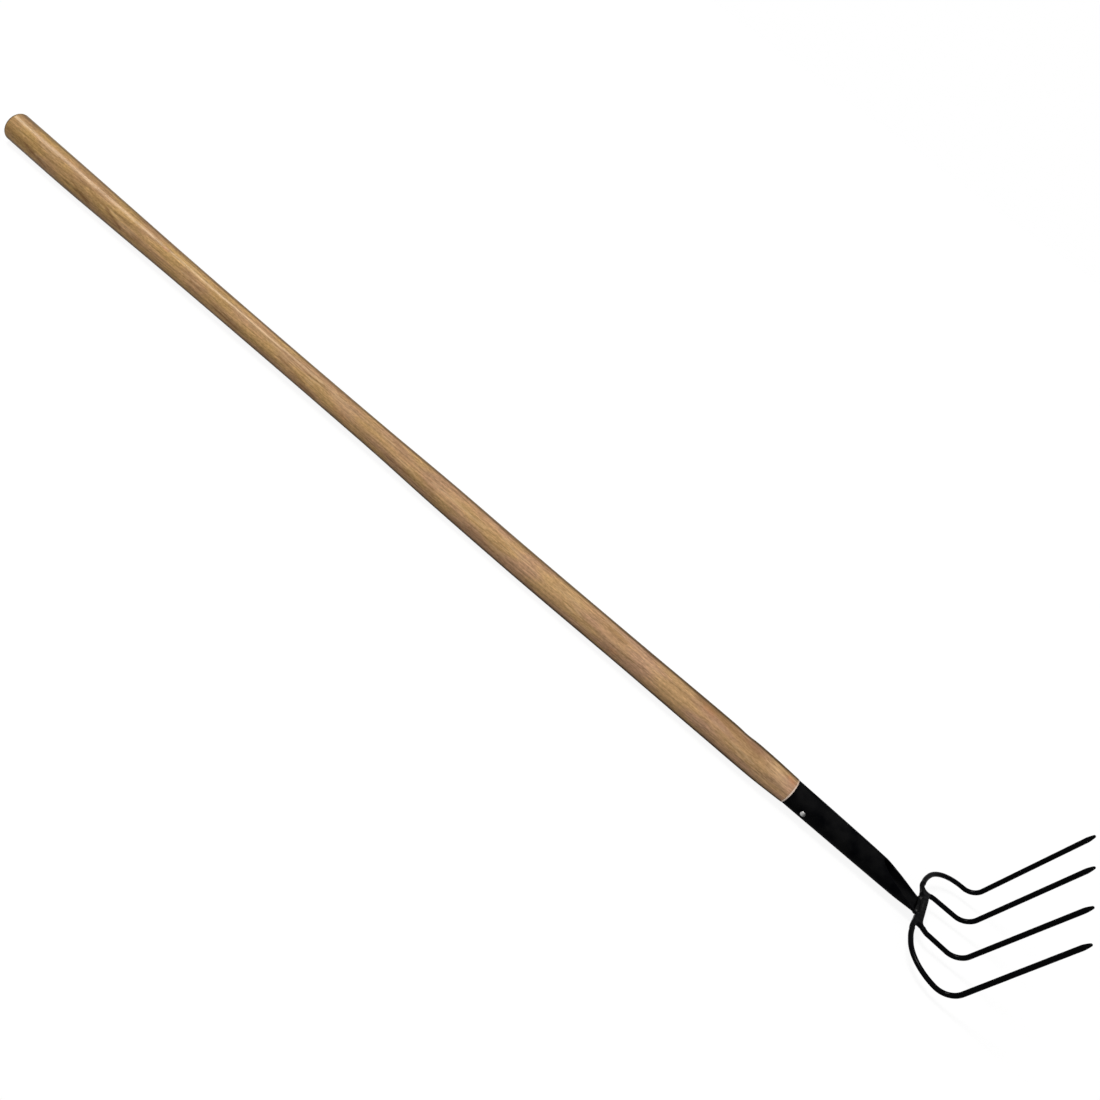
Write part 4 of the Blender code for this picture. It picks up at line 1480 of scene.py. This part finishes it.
@dataclass(frozen=True)
class Studio:
    """A white floor, a key lamp, a wide fill lamp, even light all round, and the camera of the photograph.

    A glint lamp stands where the key lamp does. It shows in glossy surfaces alone, as glints on the paint."""

    floor_half: float = 9.0
    floor_drop: float = 0.0002
    floor_grey: float = 0.30
    floor_shadow: float = 0.12
    floor_glow: float = 0.90
    key_from: tuple = (-0.549, -0.100, 0.830)
    key_power: float = 1.89
    key_spread: float = math.radians(20)
    glint_power: float = 5.6
    fill_from: tuple = (0.10, -0.90, 0.40)
    fill_power: float = 1.25
    fill_spread: float = math.radians(110)
    lamp_color: tuple = (1.0, 0.985, 0.96)
    around: tuple = (0.252, 0.256, 0.266)
    camera_place: tuple = (0.332773, -1.172794, 0.686130)
    camera_right: tuple = (0.7507143, 0.4176292, 0.5118729)
    camera_up: tuple = (-0.6400393, 0.2678627, 0.7201384)
    camera_back: tuple = (0.1636392, -0.8682370, 0.4683874)
    camera_focal: float = 1200.0
    camera_range: tuple = (0.05, 60.0)
    frame_width: float = 1100.0
    sensor: float = 36.0

    def split(self, sheet: Sheet, hidden: Output, seen: Output) -> Output:
        """Gives rays from the camera, and from shiny or clear surfaces, another look than all other rays.

        Args:
            sheet: the node tree.
            hidden: the output with the shader for all other rays.
            seen: the output with the shader for the rays that a picture shows.

        Returns:
            The output with the mix of the two.
        """
        rays = sheet.add("ShaderNodeLightPath", {}).outputs
        total = rays["Is Camera Ray"]
        for name in ("Is Glossy Ray", "Is Transmission Ray"):
            total = sheet.add("ShaderNodeMath", {0: total, 1: rays[name]}, operation="MAXIMUM").outputs[0]
        return sheet.add("ShaderNodeMixShader", {0: total, 1: hidden, 2: seen}).outputs[0]

    def add_floor(self) -> None:
        """Adds the floor: it looks white and keeps the shadow, but throws only a grey's light on the tool."""
        material = bpy.data.materials.new("studio_floor")
        sheet = Sheet(material)
        sheet.tree.nodes.clear()
        grey, shade = (sheet.add("ShaderNodeBsdfDiffuse", {"Color": (tone, tone, tone, 1)}).outputs[0]
                       for tone in (self.floor_grey, self.floor_shadow))
        glow = sheet.add("ShaderNodeEmission", {"Strength": self.floor_glow}).outputs[0]
        white = sheet.add("ShaderNodeAddShader", {0: shade, 1: glow}).outputs[0]
        sheet.add("ShaderNodeOutputMaterial", {"Surface": self.split(sheet, grey, white)})
        h, z = self.floor_half, -self.floor_drop
        mesh = bpy.data.meshes.new("studio_floor")
        mesh.from_pydata([(-h, -h, z), (h, -h, z), (h, h, z), (-h, h, z)], [], [(0, 1, 2, 3)])
        mesh.materials.append(material)
        floor = bpy.data.objects.new("studio_floor", mesh)
        bpy.context.scene.collection.objects.link(floor)

    def add_world(self) -> None:
        """Makes the surroundings: white where they are seen, and a soft even light on the tool."""
        world = bpy.data.worlds.new("studio")
        bpy.context.scene.world = world
        sheet = Sheet(world)
        sheet.tree.nodes.clear()
        light, white = (sheet.add("ShaderNodeBackground", {"Color": (*color, 1)}).outputs[0]
                        for color in (self.around, (1, 1, 1)))
        sheet.add("ShaderNodeOutputWorld", {"Surface": self.split(sheet, light, white)})

    def add_lamp(self, name: str, direction: tuple, power: float, spread: float,
                 glossy: bool = False) -> None:
        """Adds a soft lamp that is far away.

        Args:
            name: its name.
            direction: where its light comes from.
            power: its strength.
            spread: how wide it looks from the tool, as an angle.
            glossy: True for a lamp that is seen in glossy surfaces alone.
        """
        lamp = bpy.data.lights.new(name, "SUN")
        lamp.energy = power
        lamp.angle = spread
        lamp.color = self.lamp_color
        placed = bpy.data.objects.new(name, lamp)
        placed.rotation_mode = "QUATERNION"
        placed.rotation_quaternion = Vector(direction).to_track_quat("Z", "Y")
        placed.visible_diffuse = not glossy
        bpy.context.scene.collection.objects.link(placed)

    def add_camera(self) -> None:
        """Adds the camera, whose place and turn were worked out from the photograph."""
        data = bpy.data.cameras.new("photo_view")
        data.sensor_width = self.sensor
        data.lens = self.sensor * self.camera_focal / self.frame_width
        data.clip_start, data.clip_end = self.camera_range
        camera = bpy.data.objects.new("photo_view", data)
        turn = Matrix((self.camera_right, self.camera_up, self.camera_back)).transposed()
        camera.matrix_world = Matrix.Translation(self.camera_place) @ turn.to_4x4()
        bpy.context.scene.collection.objects.link(camera)
        bpy.context.scene.camera = camera

    def build(self) -> None:
        """Sets up the whole studio."""
        self.add_floor()
        self.add_world()
        self.add_lamp("key", self.key_from, self.key_power, self.key_spread)
        self.add_lamp("glint", self.key_from, self.glint_power, self.key_spread, glossy=True)
        self.add_lamp("fill", self.fill_from, self.fill_power, self.fill_spread)
        self.add_camera()
        bpy.context.scene.view_settings.view_transform = "Standard"


def main() -> None:
    """Builds every piece in order, and the studio round it."""
    logging.basicConfig(level=logging.INFO, format="%(name)s: %(message)s")
    Studio().build()
    head_paint, weld_paint = HEAD_PAINT.make(), WELD_PAINT.make()
    socket = Socket()
    Shaft().build(OiledAsh().make())
    socket.build(SOCKET_PAINT.make())
    Rivet().build(HammeredSteel().make(), socket)
    Yoke().build(head_paint)
    NeckWeld().build(weld_paint, socket)
    Tines().build(head_paint, weld_paint)


if __name__ == "__main__":
    main()
